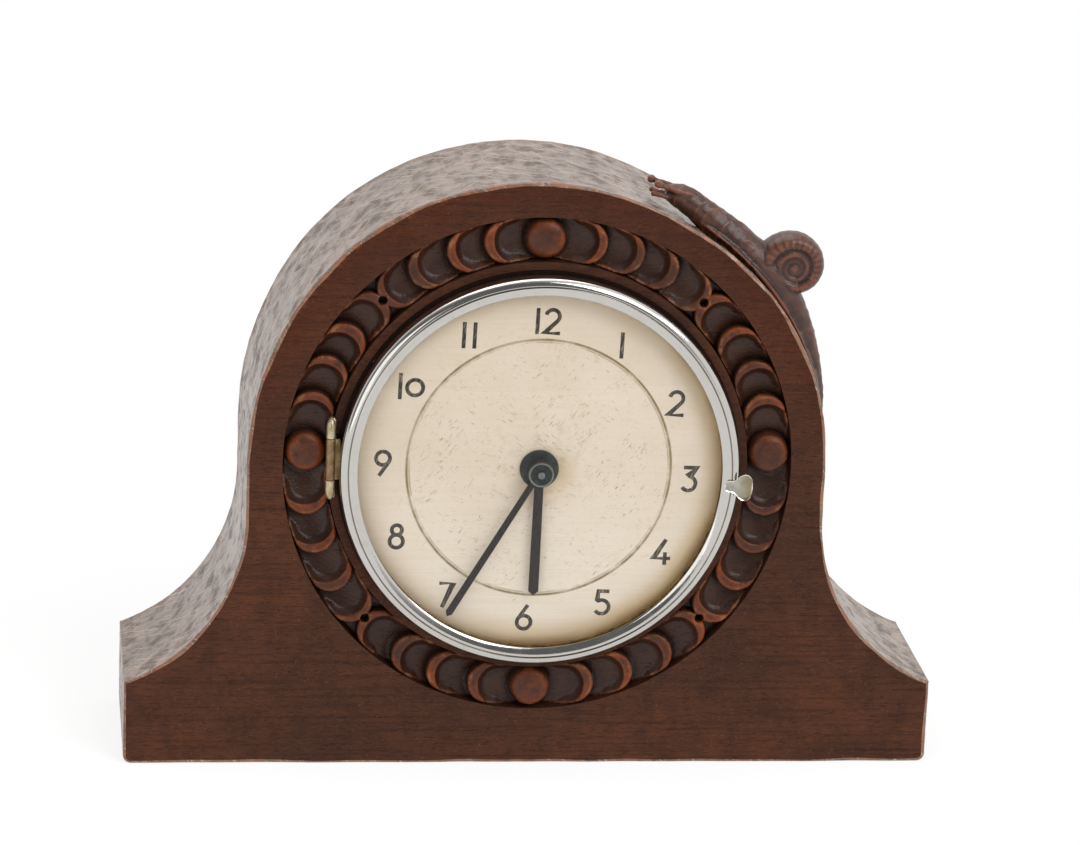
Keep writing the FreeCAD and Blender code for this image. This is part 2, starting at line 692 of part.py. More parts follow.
def add_outline(sketch, corners):
    """A closed outline. A corner is (x, y) or (x, y, radius of the arc to the next corner);
    a coordinate of None lies on the axis."""
    spots = [Vector(*[value(item) if item else 0 for item in corner[:2]], 0) for corner in corners]
    ends = []
    for number, corner in enumerate(corners):
        start, end = spots[number], spots[(number + 1) % len(spots)]
        forward = True
        if len(corner) == 3:
            shape, forward = arc_geometry(start, end, value(corner[2]))
        else:
            shape = Part.LineSegment(start, end)
        index = sketch.addGeometry(shape, False)
        ends.append((index, 1, 2) if forward else (index, 2, 1))
    for number, corner in enumerate(corners):
        index, start, end = ends[number]
        follower = ends[(number + 1) % len(ends)]
        sketch.addConstraint(Sketcher.Constraint("Coincident", index, end, follower[0], follower[1]))
        fix_point(sketch, index, start, corner[0], corner[1])
        if len(corner) == 3:
            drive(sketch, "Radius", index, corner[2].lstrip("-"))


def pad(body, sketch, length, midplane=False):
    feature = body.newObject("PartDesign::Pad", body.Name + "_pad")
    feature.Profile = sketch
    feature.setExpression("Length", ref(length))
    feature.Midplane = midplane
    sketch.Visibility = False
    return feature


def pocket(body, sketch, length):
    feature = body.newObject("PartDesign::Pocket", body.Name + "_pocket")
    feature.Profile = sketch
    feature.setExpression("Length", ref(length))
    return feature


def turned(name, corners):
    """A body turned on the lathe from a section drawn as radius and station."""
    body = new_body(name)
    sketch = new_sketch(body, "XZ_Plane")
    add_outline(sketch, corners)
    feature = body.newObject("PartDesign::Revolution", name + "_turned")
    feature.Profile = sketch
    feature.ReferenceAxis = (sketch, ["V_Axis"])
    feature.Angle = 360
    return body


# Primitives and booleans driven by the sheets
def move(obj, x=None, y=None, z=None):
    for axis, name in (("x", x), ("y", y), ("z", z)):
        if name:
            obj.setExpression("Placement.Base." + axis, ref(name))


def rod(name, radius, start, length, x=None, y=None):
    """A cylinder along the arbor from a station towards the viewer."""
    obj = doc.addObject("Part::Cylinder", name)
    obj.setExpression("Radius", ref(radius))
    obj.setExpression("Height", ref(length))
    move(obj, x, y, start)
    return obj


def join(name, items):
    obj = doc.addObject("Part::MultiFuse", name)
    obj.Shapes = items
    return obj


def cut(name, base, tool):
    obj = doc.addObject("Part::Cut", name)
    obj.Base = base
    obj.Tool = tool
    return obj


def group(name, items):
    obj = doc.addObject("Part::Compound", name)
    obj.Links = items
    return obj


def formed(name, shape):
    """A sub-part whose form no feature fits, such as teeth or carving."""
    obj = doc.addObject("Part::Feature", name)
    obj.Shape = shape
    return obj


def prism(points, start, height):
    base = Part.Face(Part.makePolygon(points + points[:1]))
    base.translate(Vector(0, 0, start))
    return base.extrude(Vector(0, 0, height))


def disc(radius, start, height, x=0.0, y=0.0):
    return Part.makeCylinder(radius, height, Vector(x, y, start))


# Case of solid oak: sawn outline, bored through, with a channel for the carved ring
case = new_body("case_body")
case_outline = new_sketch(case, "XZ_Plane")
add_outline(
    case_outline,
    (
        ("-base_corner", None),
        ("base_corner", None, "corner_radius"),
        ("half_width", "corner_radius"),
        ("half_width", "foot_height", "-flank_radius"),
        ("arch_radius", "flank_start"),
        ("arch_radius", "dial_height", "arch_radius"),
        (None, "apex", "arch_radius"),
        ("-arch_radius", "dial_height"),
        ("-arch_radius", "flank_start", "-flank_radius"),
        ("-half_width", "foot_height"),
        ("-half_width", "corner_radius", "corner_radius"),
    ),
)
add_circle(case_outline, "bore_radius", None, "dial_height")
pad(case, case_outline, "case_depth", midplane=True)
channel = new_sketch(case, "XZ_Plane", "face")
add_circle(channel, "channel_outer", None, "dial_height")
add_circle(channel, "channel_inner", None, "dial_height")
pocket(case, channel, "channel_depth")
pilots = new_sketch(case, "XZ_Plane", "face")
for screw_x in ("screw_x", "-screw_x"):
    for screw_up in ("screw_high", "screw_low"):
        add_circle(pilots, "pilot_radius", screw_x, screw_up)
pocket(case, pilots, "pilot_depth")
case.Label = "case_body"
NODES.append(case)


# Ring of overlapping coins between four balls, with a drilled eye where two runs meet
def coin_shape(away):
    """A coin at the middle of the dial: a flat crescent on the side away from its ball, and
    a round hollow inside it that slopes under the coin before it."""
    radius, top, floor = value("coin_radius"), value("coin_top"), value("coin_floor")
    crest = radius - value("coin_rim")
    run = crest + radius + value("overrun")
    drop = run * math.tan(math.radians(value("coin_slope")))
    lid = top + value("overrun")
    section = [
        Vector(crest, -radius, top),
        Vector(crest, -radius, lid),
        Vector(crest - run, -radius, lid),
        Vector(crest - run, -radius, top - drop),
    ]
    wedge = Part.Face(Part.makePolygon(section + section[:1])).extrude(Vector(0, 2 * radius, 0))
    hollow = wedge.common(disc(radius, floor, lid - floor, -value("coin_rim"), 0))
    coin = disc(radius, floor, top - floor).cut(hollow)
    if not away:
        coin.rotate(Vector(), Vector(0, 0, 1), 180)
    return coin


def carved_ring():
    ring_radius = value("ring_radius")
    floor, height = value("channel_floor"), value("ring_floor")
    ring = disc(value("ring_outer"), floor, height).cut(disc(value("ring_inner"), floor, height))
    lift = value("side_ball_lift")
    ball_angles = (lift, 90, 180 - lift, 270, 360 + lift)
    coins = count("coins_per_side")
    additions = []
    eyes = []
    for first, second in zip(ball_angles, ball_angles[1:]):
        pitch = (second - first) / (2 * coins + 1)
        ball = Part.makeSphere(value("ball_radius"), polar(ring_radius, first))
        ball.translate(Vector(0, 0, value("ball_z")))
        additions.append(ball.common(disc(value("ring_outer"), floor, 2 * value("channel_depth"))))
        for number in range(1, 2 * coins + 1):
            rising = number <= coins
            coin = coin_shape(rising)
            coin.rotate(Vector(), Vector(0, 0, 1), 90)
            coin.translate(Vector(ring_radius, 0, 0))
            coin.rotate(Vector(), Vector(0, 0, 1), first + number * pitch)
            additions.append(coin)
        spot = polar(ring_radius, (first + second) / 2)
        eyes.append(disc(value("eye_radius"), value("coin_floor"), value("channel_depth"), spot.x, spot.y))
    return ring.multiFuse(additions).cut(Part.makeCompound(eyes))


name_node(formed("carved_ring", carved_ring()), "carved_ring")


# Snail creeping down the right shoulder: head, neck, foot and a coiled shell
BODY_SHARES = (
    # Place from the head to the tail, rise over the arch and radius as shares of the foot's
    (0.0, 0.95, 0.25),
    (0.03, 0.9, 0.5),
    (0.09, 0.75, 0.62),
    (0.2, 0.4, 0.6),
    (0.32, 0.25, 0.75),
    (0.5, 0.15, 1.0),
    (0.72, 0.0, 0.7),
    (0.9, 0.0, 0.35),
    (1.0, 0.0, 0.22),
)
WHORL_SHARE = 0.8


def on_shoulder(angle, rise, radius):
    """A circle across the snail's body, at a height over the arch."""
    ring = Part.Wire([Part.Circle(Vector(), Vector(0, 1, 0), radius).toShape()])
    ring.rotate(Vector(), Vector(0, 1, 0), value("snail_seam_angle"))
    ring.translate(Vector(value("arch_radius") + rise, 0, value("snail_z")))
    ring.rotate(Vector(), Vector(0, 0, 1), angle)
    return ring


def snail():
    head, tail, foot = value("snail_head_angle"), value("snail_tail_angle"), value("snail_foot_radius")
    rings = [
        on_shoulder(head + (tail - head) * along, foot * rise, foot * radius)
        for along, rise, radius in BODY_SHARES
    ]
    width, station = value("snail_shell_width"), value("snail_z")
    saddle = disc(value("snail_seat"), station - width, 2 * width)
    body = Part.makeLoft(rings, True).cut(saddle)
    shell_radius, pole = value("snail_shell_radius"), width / 2
    flatten = FreeCAD.Matrix()
    flatten.scale(1, 1, pole / shell_radius)
    shell = Part.makeSphere(shell_radius).transformGeometry(flatten)
    whorl, height = value("snail_whorl_radius"), value("snail_whorl_height")
    for side in (-1, 1):
        root = Vector(-height / 2, height / 2, side * (pole - height))
        outward = Vector(0, 0, side)
        shell = shell.fuse(Part.makeCone(whorl, whorl * WHORL_SHARE, height, root, outward))
    spot = polar(value("arch_radius") + value("snail_shell_rise"), value("snail_shell_angle"))
    shell.translate(Vector(spot.x, spot.y, station))
    return body.fuse(shell.cut(saddle))


name_node(formed("shoulder_carving", snail()), "shoulder_carving")


# Fixed plate of the dial, screwed to the front of the case
seat = new_body("seat_plate")
seat_outline = new_sketch(seat, "XY_Plane", "face")
add_circle(seat_outline, "seat_radius")
add_circle(seat_outline, "seat_opening")
FOUR_SCREWS = [(x, y) for x in ("screw_x", "-screw_x") for y in ("screw_y", "-screw_y")]
FOUR_POSTS = (
    ("post_x", "post_y"),
    ("-post_y", "post_x"),
    ("-post_x", "-post_y"),
    ("post_y", "-post_x"),
)
for x, y in FOUR_SCREWS:
    add_circle(seat_outline, "pilot_radius", x, y)
pad(seat, seat_outline, "seat_thickness")
counterbores = new_sketch(seat, "XY_Plane", "seat_top")
for x, y in FOUR_SCREWS:
    add_circle(counterbores, "screw_bore", x, y)
pocket(seat, counterbores, "screw_head_height")
name_node(seat, "seat_plate")


def slotted_screw(name, head, shank, x, y):
    """A screw from (radius, station, height) of its head and of its shank, slotted on the
    side away from the shank."""
    parts = join(name + "_solid", [rod(name + "_head", *head, x, y), rod(name + "_shank", *shank, x, y)])
    slot = doc.addObject("Part::Box", name + "_slot")
    slot.setExpression("Length", "2 * " + ref(head[0]))
    slot.setExpression("Width", ref("screw_slot"))
    slot.setExpression("Height", ref(head[2]) + " / 2")
    slot.setExpression("Placement.Base.x", ref(x) + " - " + ref(head[0]))
    slot.setExpression("Placement.Base.y", ref(y) + " - " + ref("screw_slot") + " / 2")
    outer = value(head[1]) > value(shank[1])
    lift = " + " + ref(head[2]) + " / 2" if outer else ""
    slot.setExpression("Placement.Base.z", ref(head[1]) + lift)
    return cut(name, parts, slot)


seat_screws = [
    slotted_screw(
        "seat_screw_%d" % number,
        ("screw_head_radius", "screw_head_z", "screw_head_height"),
        ("screw_shank_radius", "screw_tip_z", "screw_length"),
        x,
        y,
    )
    for number, (x, y) in enumerate(FOUR_SCREWS)
]
name_node(group("seat_screws", seat_screws), "seat_screws")

# Dial with a raised bead between the hours and the centre
name_node(
    turned(
        "dial_plate",
        (
            ("dial_opening", "seat_top"),
            ("dial_radius", "seat_top"),
            ("dial_radius", "dial_bevel_start"),
            ("dial_edge", "dial_top"),
            ("bead_outer", "dial_top"),
            ("bead_radius", "bead_top"),
            ("bead_inner", "dial_top"),
            ("dial_opening", "dial_top"),
        ),
    ),
    "dial_plate",
)

# Bezel: rounded outer band, groove, flat inner band, and a rebate for the glass
name_node(
    turned(
        "bezel_frame",
        (
            ("bezel_inner", "bezel_bottom"),
            ("bezel_radius", "bezel_bottom"),
            ("bezel_radius", "bezel_turn", "bezel_round"),
            ("bezel_flat", "bezel_crown"),
            ("bezel_notch_radius", "bezel_notch"),
            ("bezel_band", "bezel_crown"),
            ("bezel_throat", "bezel_throat_top"),
            ("bezel_throat", "bezel_lip_under"),
            ("glass_seat_radius", "bezel_lip_under"),
            ("glass_seat_radius", "glass_ring_under"),
            ("bezel_inner", "glass_ring_under"),
        ),
    ),
    "bezel_frame",
)
name_node(
    turned(
        "bezel_glass",
        (
            (None, "glass_crown_under", "-glass_sphere"),
            ("glass_radius", "glass_edge_under"),
            ("glass_radius", "glass_edge_top", "glass_sphere"),
            (None, "glass_crown"),
        ),
    ),
    "bezel_glass",
)
name_node(
    turned(
        "glass_ring",
        (
            ("glass_ring_inner", "glass_ring_under"),
            ("glass_radius", "glass_ring_under"),
            ("glass_radius", "glass_ring_top"),
            ("glass_ring_inner", "glass_ring_top"),
        ),
    ),
    "glass_ring",
)


# Thumb tab: a narrow neck spreading into a rounded fan past the rim
def thumb_tab():
    near, far = value("tab_inset"), value("tab_inset") + value("tab_length")
    neck, half = value("tab_neck") / 2, value("tab_width") / 2
    shoulder = far - half
    side = Part.LineSegment(Vector(near, -neck, 0), Vector(shoulder, -half, 0)).toShape()
    nose = Part.Arc(Vector(shoulder, -half, 0), Vector(far, 0, 0), Vector(shoulder, half, 0)).toShape()
    back = Part.LineSegment(Vector(shoulder, half, 0), Vector(near, neck, 0)).toShape()
    root = Part.LineSegment(Vector(near, neck, 0), Vector(near, -neck, 0)).toShape()
    tab = Part.Face(Part.Wire([side, nose, back, root]))
    tab.translate(Vector(0, 0, value("tab_z")))
    return tab.extrude(Vector(0, 0, value("tab_thickness")))


name_node(formed("thumb_tab", thumb_tab()), "thumb_tab", turn=value("tab_angle"))


# Hinge on the left of the bezel: end knuckles fixed, middle knuckle on the bezel
def knuckle(low, length):
    """A knuckle along the dial's upright, from a height over the middle of the dial."""
    foot = Vector(-value("hinge_x"), low, value("hinge_z"))
    outer = Part.makeCylinder(value("hinge_radius"), length, foot, Vector(0, 1, 0))
    return outer.cut(Part.makeCylinder(value("hinge_bore"), length, foot, Vector(0, 1, 0)))


def leaf_arm(low, length, station, thickness, edge):
    """A flat arm from a knuckle to the round edge that it is brazed to."""
    corner = Vector(-value("hinge_x"), low, station)
    arm = Part.makeBox(value("hinge_reach"), length, thickness, corner)
    bore = Vector(-value("hinge_x"), low, value("hinge_z"))
    arm = arm.cut(Part.makeCylinder(value("hinge_bore"), length, bore, Vector(0, 1, 0)))
    return arm.cut(disc(edge + value("hinge_seat_gap"), station, thickness))


def fixed_leaf():
    length, face, thickness = value("hinge_end_length"), value("face"), value("seat_thickness")
    width, rise = value("hinge_radius"), value("hinge_z") - value("face")
    corner = Vector(-value("hinge_x"), value("hinge_low"), face)
    strap = Part.makeBox(width, value("hinge_length"), thickness, corner)
    pieces = []
    for low in (value("hinge_low"), value("hinge_high_start")):
        bore = Vector(-value("hinge_x"), low, value("hinge_z"))
        leg = Part.makeBox(width, length, rise, Vector(-value("hinge_x"), low, face))
        leg = leg.cut(Part.makeCylinder(value("hinge_bore"), length, bore, Vector(0, 1, 0)))
        pieces += [knuckle(low, length), leg]
        pieces.append(leaf_arm(low, length, face, thickness, value("seat_radius")))
    return strap.multiFuse(pieces)


def bezel_leaf():
    low, length = value("hinge_middle_low"), value("hinge_middle_length")
    thickness = value("hinge_leaf_thickness")
    arm = leaf_arm(low, length, value("bezel_leaf_z"), thickness, value("bezel_radius"))
    return knuckle(low, length).fuse(arm)


name_node(formed("hinge_fixed_leaf", fixed_leaf()), "hinge_fixed_leaf")
name_node(formed("hinge_bezel_leaf", bezel_leaf()), "hinge_bezel_leaf")
hinge_foot = Vector(-value("hinge_x"), value("hinge_low"), value("hinge_z"))
hinge_pin = Part.makeCylinder(
    value("hinge_pin_radius"), value("hinge_length"), hinge_foot, Vector(0, 1, 0)
)
name_node(formed("hinge_pin", hinge_pin), "hinge_pin")

# Movement plates, drilled for every arbor, the posts and the pillars
PIVOTS = ("intermediate", "third", "fourth", "escape", "pallet")
PILLARS = [("pillar_%s_x" % word, "pillar_%s_y" % word) for word in ("one", "two", "three", "four")]


def movement_plate(name, height):
    plate = new_body(name)
    sketch = new_sketch(plate, "XY_Plane", height)
    add_circle(sketch, "plate_radius")
    add_circle(sketch, "centre_hole")
    add_circle(sketch, "barrel_pivot_hole", "barrel_x", "barrel_y")
    add_circle(sketch, "cone_screw_hole", "balance_x", "balance_y")
    for pivot in PIVOTS:
        add_circle(sketch, "pivot_hole", pivot + "_x", pivot + "_y")
    for x, y in PILLARS:
        add_circle(sketch, "pillar_hole", x, y)
    return plate, sketch


front_plate, front_sketch = movement_plate("front_plate", "front_plate_under")
for x, y in FOUR_POSTS:
    add_circle(front_sketch, "post_hole", x, y)
pad(front_plate, front_sketch, "plate_thickness")
name_node(front_plate, "front_plate")
back_plate, back_sketch = movement_plate("back_plate", "back_plate_back")
add_circle(back_sketch, "click_hole", "click_x", "click_y")
pad(back_plate, back_sketch, "plate_thickness")
name_node(back_plate, "back_plate")

# Posts that carry the movement from the fixed plate, with their nuts
posts = []
nuts = []
for number, (x, y) in enumerate(FOUR_POSTS):
    post = rod("post_%d" % number, "post_radius", "plate_front", "post_length", x, y)
    thread = rod("post_thread_%d" % number, "post_thread_radius", "post_thread_z", "post_thread_length", x, y)
    posts.append(join("post_whole_%d" % number, [post, thread]))
    nut = rod("nut_blank_%d" % number, "nut_radius", "nut_z", "nut_height", x, y)
    nut_bore = rod("nut_bore_%d" % number, "post_hole", "nut_z", "nut_height", x, y)
    nuts.append(cut("nut_%d" % number, nut, nut_bore))
name_node(group("movement_posts", posts), "movement_posts")
name_node(group("post_nuts", nuts), "post_nuts")

# Turned pillars between the plates, screwed at both ends
pillars = []
pillar_screws = []
for number, (x, y) in enumerate(PILLARS):
    turned_pillar = join(
        "pillar_turned_%d" % number,
        [
            rod("pillar_waist_%d" % number, "pillar_waist", "datum", "plate_gap", x, y),
            rod("pillar_low_%d" % number, "pillar_radius", "datum", "pillar_collar", x, y),
            rod("pillar_high_%d" % number, "pillar_radius", "pillar_top_collar_z", "pillar_collar", x, y),
        ],
    )
    sockets = join(
        "pillar_sockets_%d" % number,
        [
            rod("socket_low_%d" % number, "pillar_hole", "datum", "pillar_socket_depth", x, y),
            rod("socket_high_%d" % number, "pillar_hole", "pillar_socket_z", "pillar_socket_depth", x, y),
        ],
    )
    pillars.append(cut("pillar_%d" % number, turned_pillar, sockets))
    pillar_screws.append(
        slotted_screw(
            "front_screw_%d" % number,
            ("pillar_screw_head", "plate_front", "pillar_screw_height"),
            ("pillar_screw_shank", "pillar_front_screw_z", "pillar_screw_length"),
            x,
            y,
        )
    )
    pillar_screws.append(
        slotted_screw(
            "back_screw_%d" % number,
            ("pillar_screw_head", "pillar_back_head_z", "pillar_screw_height"),
            ("pillar_screw_shank", "back_plate_back", "pillar_screw_length"),
            x,
            y,
        )
    )
name_node(group("plate_pillars", pillars), "plate_pillars")
name_node(group("pillar_screws", pillar_screws), "pillar_screws")


# Toothed wheels and pinions
# Half widths at the root and the tip of a tooth as shares of the pitch, then the height
# over and the depth under the pitch circle as shares of the module
WHEEL_SHARES = (0.24, 0.07, 0.85, 1.25)
PINION_SHARES = (0.17, 0.08, 0.75, 1.35)


def toothed(teeth, module, shares, start, height):
    """A toothed blank with its first tooth on the x axis, and its root radius."""
    root_share, tip_share, over_share, under_share = shares
    tip = module * (teeth / 2 + over_share)
    root = module * (teeth / 2 - under_share)
    pitch = 360 / teeth
    points = []
    for tooth in range(teeth):
        points.append(polar(root, (tooth - root_share) * pitch))
        points.append(polar(tip, (tooth - tip_share) * pitch))
        points.append(polar(tip, (tooth + tip_share) * pitch))
        points.append(polar(root, (tooth + root_share) * pitch))
    return points, root


def wheel_window(inner, outer, half, start, stop):
    """One opening between two arms, as a wire."""
    turn_in, turn_out = (math.degrees(math.asin(half / radius)) for radius in (inner, outer))
    middle = (start + stop) / 2
    corners = [
        polar(inner, start + turn_in),
        polar(inner, stop - turn_in),
        polar(outer, stop - turn_out),
        polar(outer, start + turn_out),
    ]
    edges = [
        Part.Arc(corners[0], polar(inner, middle), corners[1]).toShape(),
        Part.makeLine(corners[1], corners[2]),
        Part.Arc(corners[2], polar(outer, middle), corners[3]).toShape(),
        Part.makeLine(corners[3], corners[0]),
    ]
    return Part.Wire(edges)


def wheel_shape(teeth, module, shares, bore, start, height, arms=0):
    """A toothed wheel, crossed out between its hub and its rim when it has arms."""
    points, root = toothed(teeth, module, shares, start, height)
    blank = Part.Face(Part.makePolygon(points + points[:1]))
    openings = [Part.Wire([Part.Circle(Vector(), Vector(0, 0, 1), bore).toShape()])]
    for arm in range(arms):
        inner, outer = value("wheel_hub"), root - value("wheel_rim")
        span = 360 / arms
        openings.append(wheel_window(inner, outer, value("wheel_arm") / 2, arm * span, (arm + 1) * span))
    face = blank.cut(Part.makeCompound([Part.Face(wire) for wire in openings]))
    face.translate(Vector(0, 0, start))
    return face.extrude(Vector(0, 0, height)).Solids[0]


def place(item, x, up, turn=0.0):
    """Name a formed piece after its body and put it on its arbor."""
    name, shape = item
    return name_node(formed(name, shape), name, x=x, up=up, turn=turn)


def direction(start, end):
    """The angle in degrees from one arbor to another."""
    ends = [Vector(value(name + "_x"), value(name + "_y"), 0) if name else Vector() for name in (start, end)]
    step = ends[1] - ends[0]
    return math.degrees(math.atan2(step.y, step.x))


def arbor_shape(teeth, module, mesh_level, mesh_thickness, radius="arbor_radius"):
    """An arbor with its pivots and, where it has one, the pinion cut on it."""
    overlap = value("pinion_overlap")
    start = value("datum") + value(mesh_level) - overlap
    height = value(mesh_thickness) + 2 * overlap
    points, root = toothed(count(teeth), value(module), PINION_SHARES, start, height)
    pivots = disc(value("pivot_radius"), value("pivot_start"), value("pivot_length"))
    shaft = disc(value(radius), value("arbor_start"), value("arbor_length"))
    return shaft.multiFuse([pivots, prism(points, start, height)])


def train_wheel(teeth, module, level, thickness, bore):
    start = value("datum") + value(level)
    hole = value(bore) + value("wheel_fit")
    arms = count("wheel_arms")
    return wheel_shape(count(teeth), value(module), WHEEL_SHARES, hole, start, value(thickness), arms)


# Barrel with the great wheel as its floor, its cover and the mainspring
def barrel_drum():
    start, thickness = value("great_z"), value("great_thickness")
    bore = value("drum_bore")
    floor = wheel_shape(
        count("great_teeth"), value("great_module"), WHEEL_SHARES, bore, start, thickness
    )
    wall = disc(value("drum_radius"), start + thickness, value("drum_height"))
    wall = wall.cut(disc(value("drum_inner"), start + thickness, value("drum_height")))
    return floor.fuse(wall)


def spiral(inner, outer, turns, facets, thickness, start, height):
    """A flat spring coiled in straight facets."""
    steps = turns * facets
    near, far = [], []
    for step in range(steps + 1):
        angle = 360 * step / facets
        radius = inner + (outer - inner - thickness) * step / steps
        near.append(polar(radius, angle))
        far.append(polar(radius + thickness, angle))
    return prism(near + far[::-1], start, height)


to_intermediate = direction("barrel", "intermediate")
place(("barrel_drum", barrel_drum()), "barrel_x", "barrel_up", to_intermediate)
cover = disc(value("drum_radius"), value("drum_top"), value("drum_cover"))
cover = cover.cut(disc(value("drum_bore"), value("drum_top"), value("drum_cover")))
place(("barrel_cover", cover), "barrel_x", "barrel_up")
mainspring = spiral(
    value("barrel_hub_radius") + value("mainspring_clearance"),
    value("drum_inner") - value("mainspring_clearance"),
    count("mainspring_turns"),
    count("mainspring_facets"),
    value("mainspring_thickness"),
    value("spring_floor"),
    value("spring_height"),
)
place(("mainspring", mainspring), "barrel_x", "barrel_up")


# Barrel arbor with its hub, pivots and winding square
def square_bar(side, start, height):
    corner = Vector(-side / 2, -side / 2, start)
    return Part.makeBox(side, side, height, corner)


barrel_arbor = disc(value("barrel_arbor_radius"), value("arbor_start"), value("arbor_length")).multiFuse(
    [
        disc(value("barrel_hub_radius"), value("spring_floor"), value("hub_height")),
        disc(value("barrel_pivot_radius"), value("barrel_pivot_z"), value("barrel_pivot_length")),
        square_bar(value("square_side"), value("square_z"), value("square_length")),
    ]
)
place(("barrel_arbor", barrel_arbor), "barrel_x", "barrel_up")


def ratchet_wheel():
    """Saw teeth: each rises slowly to its tip and drops along a radius."""
    teeth, tip = count("ratchet_teeth"), value("ratchet_radius")
    root = tip - value("ratchet_tooth")
    points = []
    for tooth in range(teeth):
        points.append(polar(root, 360 * tooth / teeth))
        points.append(polar(tip, 360 * tooth / teeth))
    bore = square_bar(value("square_side") + 2 * value("key_fit"), value("ratchet_z"), value("ratchet_thickness"))
    return prism(points, value("ratchet_z"), value("ratchet_thickness")).cut(bore)


place(("ratchet_wheel", ratchet_wheel()), "barrel_x", "barrel_up")


# Click, its screw and the spring that presses it to the ratchet
def click_frame():
    """The nose of the click seen from its pivot: distance and angle."""
    step = Vector(value("nose_x") - value("click_x"), value("nose_y") - value("click_y"), 0)
    return step.Length, math.degrees(math.atan2(step.y, step.x))


def click():
    reach, turn = click_frame()
    half = value("click_arm_width") / 2
    start, height = value("ratchet_z"), value("ratchet_thickness")
    arm = prism([Vector(0, -half, 0), Vector(reach, 0, 0), Vector(0, half, 0)], start, height)
    boss = disc(value("click_radius"), start, height)
    return boss.fuse(arm).cut(disc(value("click_hole"), start, height))


def click_spring():
    """A bent strip on the outer side of the click, standing on a foot."""
    foot, thickness = value("click_spring_foot"), value("click_spring_thickness")
    swing = math.radians(value("click_swing"))
    tip_x = value("click_radius")
    offset = value("click_radius") + value("click_spring_gap") + tip_x * math.tan(swing)
    start, height = value("back_plate_back") - value("click_spring_width") - value("ratchet_gap"), value("click_spring_width")
    side = 1
    strip = prism(
        [
            Vector(tip_x, side * offset, 0),
            Vector(tip_x, side * (offset + thickness), 0),
            Vector(-value("click_spring_length"), side * (offset + thickness), 0),
            Vector(-value("click_spring_length"), side * offset, 0),
        ],
        start,
        height,
    )
    corner = Vector(-value("click_spring_length"), side * offset, start)
    block = Part.makeBox(foot, side * foot, value("back_plate_back") - start, corner)
    return strip.fuse(block)


click_reach, click_turn = click_frame()
place(("click", click()), "click_x", "click_up", click_turn)
click_pin = disc(value("click_pin_radius"), value("click_pin_z"), value("click_pin_length"))
click_head = disc(value("click_head_radius"), value("click_head_z"), value("click_head_height"))
click_slot = Part.makeBox(
    2 * value("click_head_radius"),
    value("screw_slot"),
    value("click_head_height") / 2,
    Vector(-value("click_head_radius"), -value("screw_slot") / 2, value("click_head_z")),
)
place(("click_screw", click_pin.fuse(click_head).cut(click_slot)), "click_x", "click_up")
place(("click_spring", click_spring()), "click_x", "click_up", click_turn)


# Intermediate, third and fourth arbors with their wheels
def mesh_turn(arbor, driver, teeth):
    """The turn that puts a gap of a pinion towards the wheel that drives it."""
    return direction(arbor, driver) + 180 / count(teeth)


TRAIN = (
    ("intermediate", "barrel", "", "great", "great_thickness"),
    ("third", "", "fourth", "centre", "wheel_thickness"),
    ("fourth", "third", "escape", "third", "wheel_thickness"),
)
for stage, driver, driven, mesh, thickness in TRAIN:
    module = mesh + "_module"
    x, up = stage + "_x", stage + "_up"
    pinion = stage + "_pinion"
    arbor = arbor_shape(pinion, module, mesh + "_level", thickness)
    place((stage + "_arbor", arbor), x, up, mesh_turn(stage, driver, pinion))
    wheel = train_wheel(
        stage + "_teeth", stage + "_module", stage + "_level", "wheel_thickness", "arbor_radius"
    )
    place((stage + "_wheel", wheel), x, up, direction(stage, driven))

# Centre arbor, which carries the hands, its pinion and its wheel
centre_pinion_z = value("datum") + value("intermediate_level") - value("pinion_overlap")
centre_pinion_height = value("wheel_thickness") + 2 * value("pinion_overlap")
pinion_points, pinion_root = toothed(
    count("centre_pinion"), value("intermediate_module"), PINION_SHARES, centre_pinion_z, centre_pinion_height
)
centre_shaft = disc(value("centre_arbor_radius"), value("knob_z"), value("centre_arbor_length"))
centre_arbor = centre_shaft.fuse(prism(pinion_points, centre_pinion_z, centre_pinion_height))
place(("centre_arbor", centre_arbor), "", "dial_height", mesh_turn("", "intermediate", "centre_pinion"))
centre_wheel = train_wheel(
    "centre_teeth", "centre_module", "centre_level", "wheel_thickness", "centre_arbor_radius"
)
place(("centre_wheel", centre_wheel), "", "dial_height", direction("", "third"))

# Escape wheel with slender pointed teeth, and its arbor
ESCAPE_SHARES = (0.22, 0.03)


def escape_wheel():
    teeth, tip = count("escape_wheel_teeth"), value("escape_wheel_radius")
    root = tip - value("escape_tooth")
    root_share, tip_share = ESCAPE_SHARES
    pitch = 360 / teeth
    points = []
    for tooth in range(teeth):
        points.append(polar(root, (tooth - root_share) * pitch))
        points.append(polar(tip, (tooth + root_share) * pitch))
        points.append(polar(tip, (tooth + root_share + tip_share) * pitch))
        points.append(polar(root, (tooth + root_share) * pitch))
    start, height = value("escape_z"), value("escape_thickness")
    bore = disc(value("escape_arbor_radius") + value("wheel_fit"), start, height)
    return prism(points, start, height).cut(bore)


escape_arbor = arbor_shape(
    "escape_pinion", "fourth_module", "fourth_level", "wheel_thickness", "escape_arbor_radius"
)
escape_turn = mesh_turn("escape", "fourth", "escape_pinion")
place(("escape_arbor", escape_arbor), "escape_x", "escape_up", escape_turn)
place(("escape_wheel", escape_wheel()), "escape_x", "escape_up")


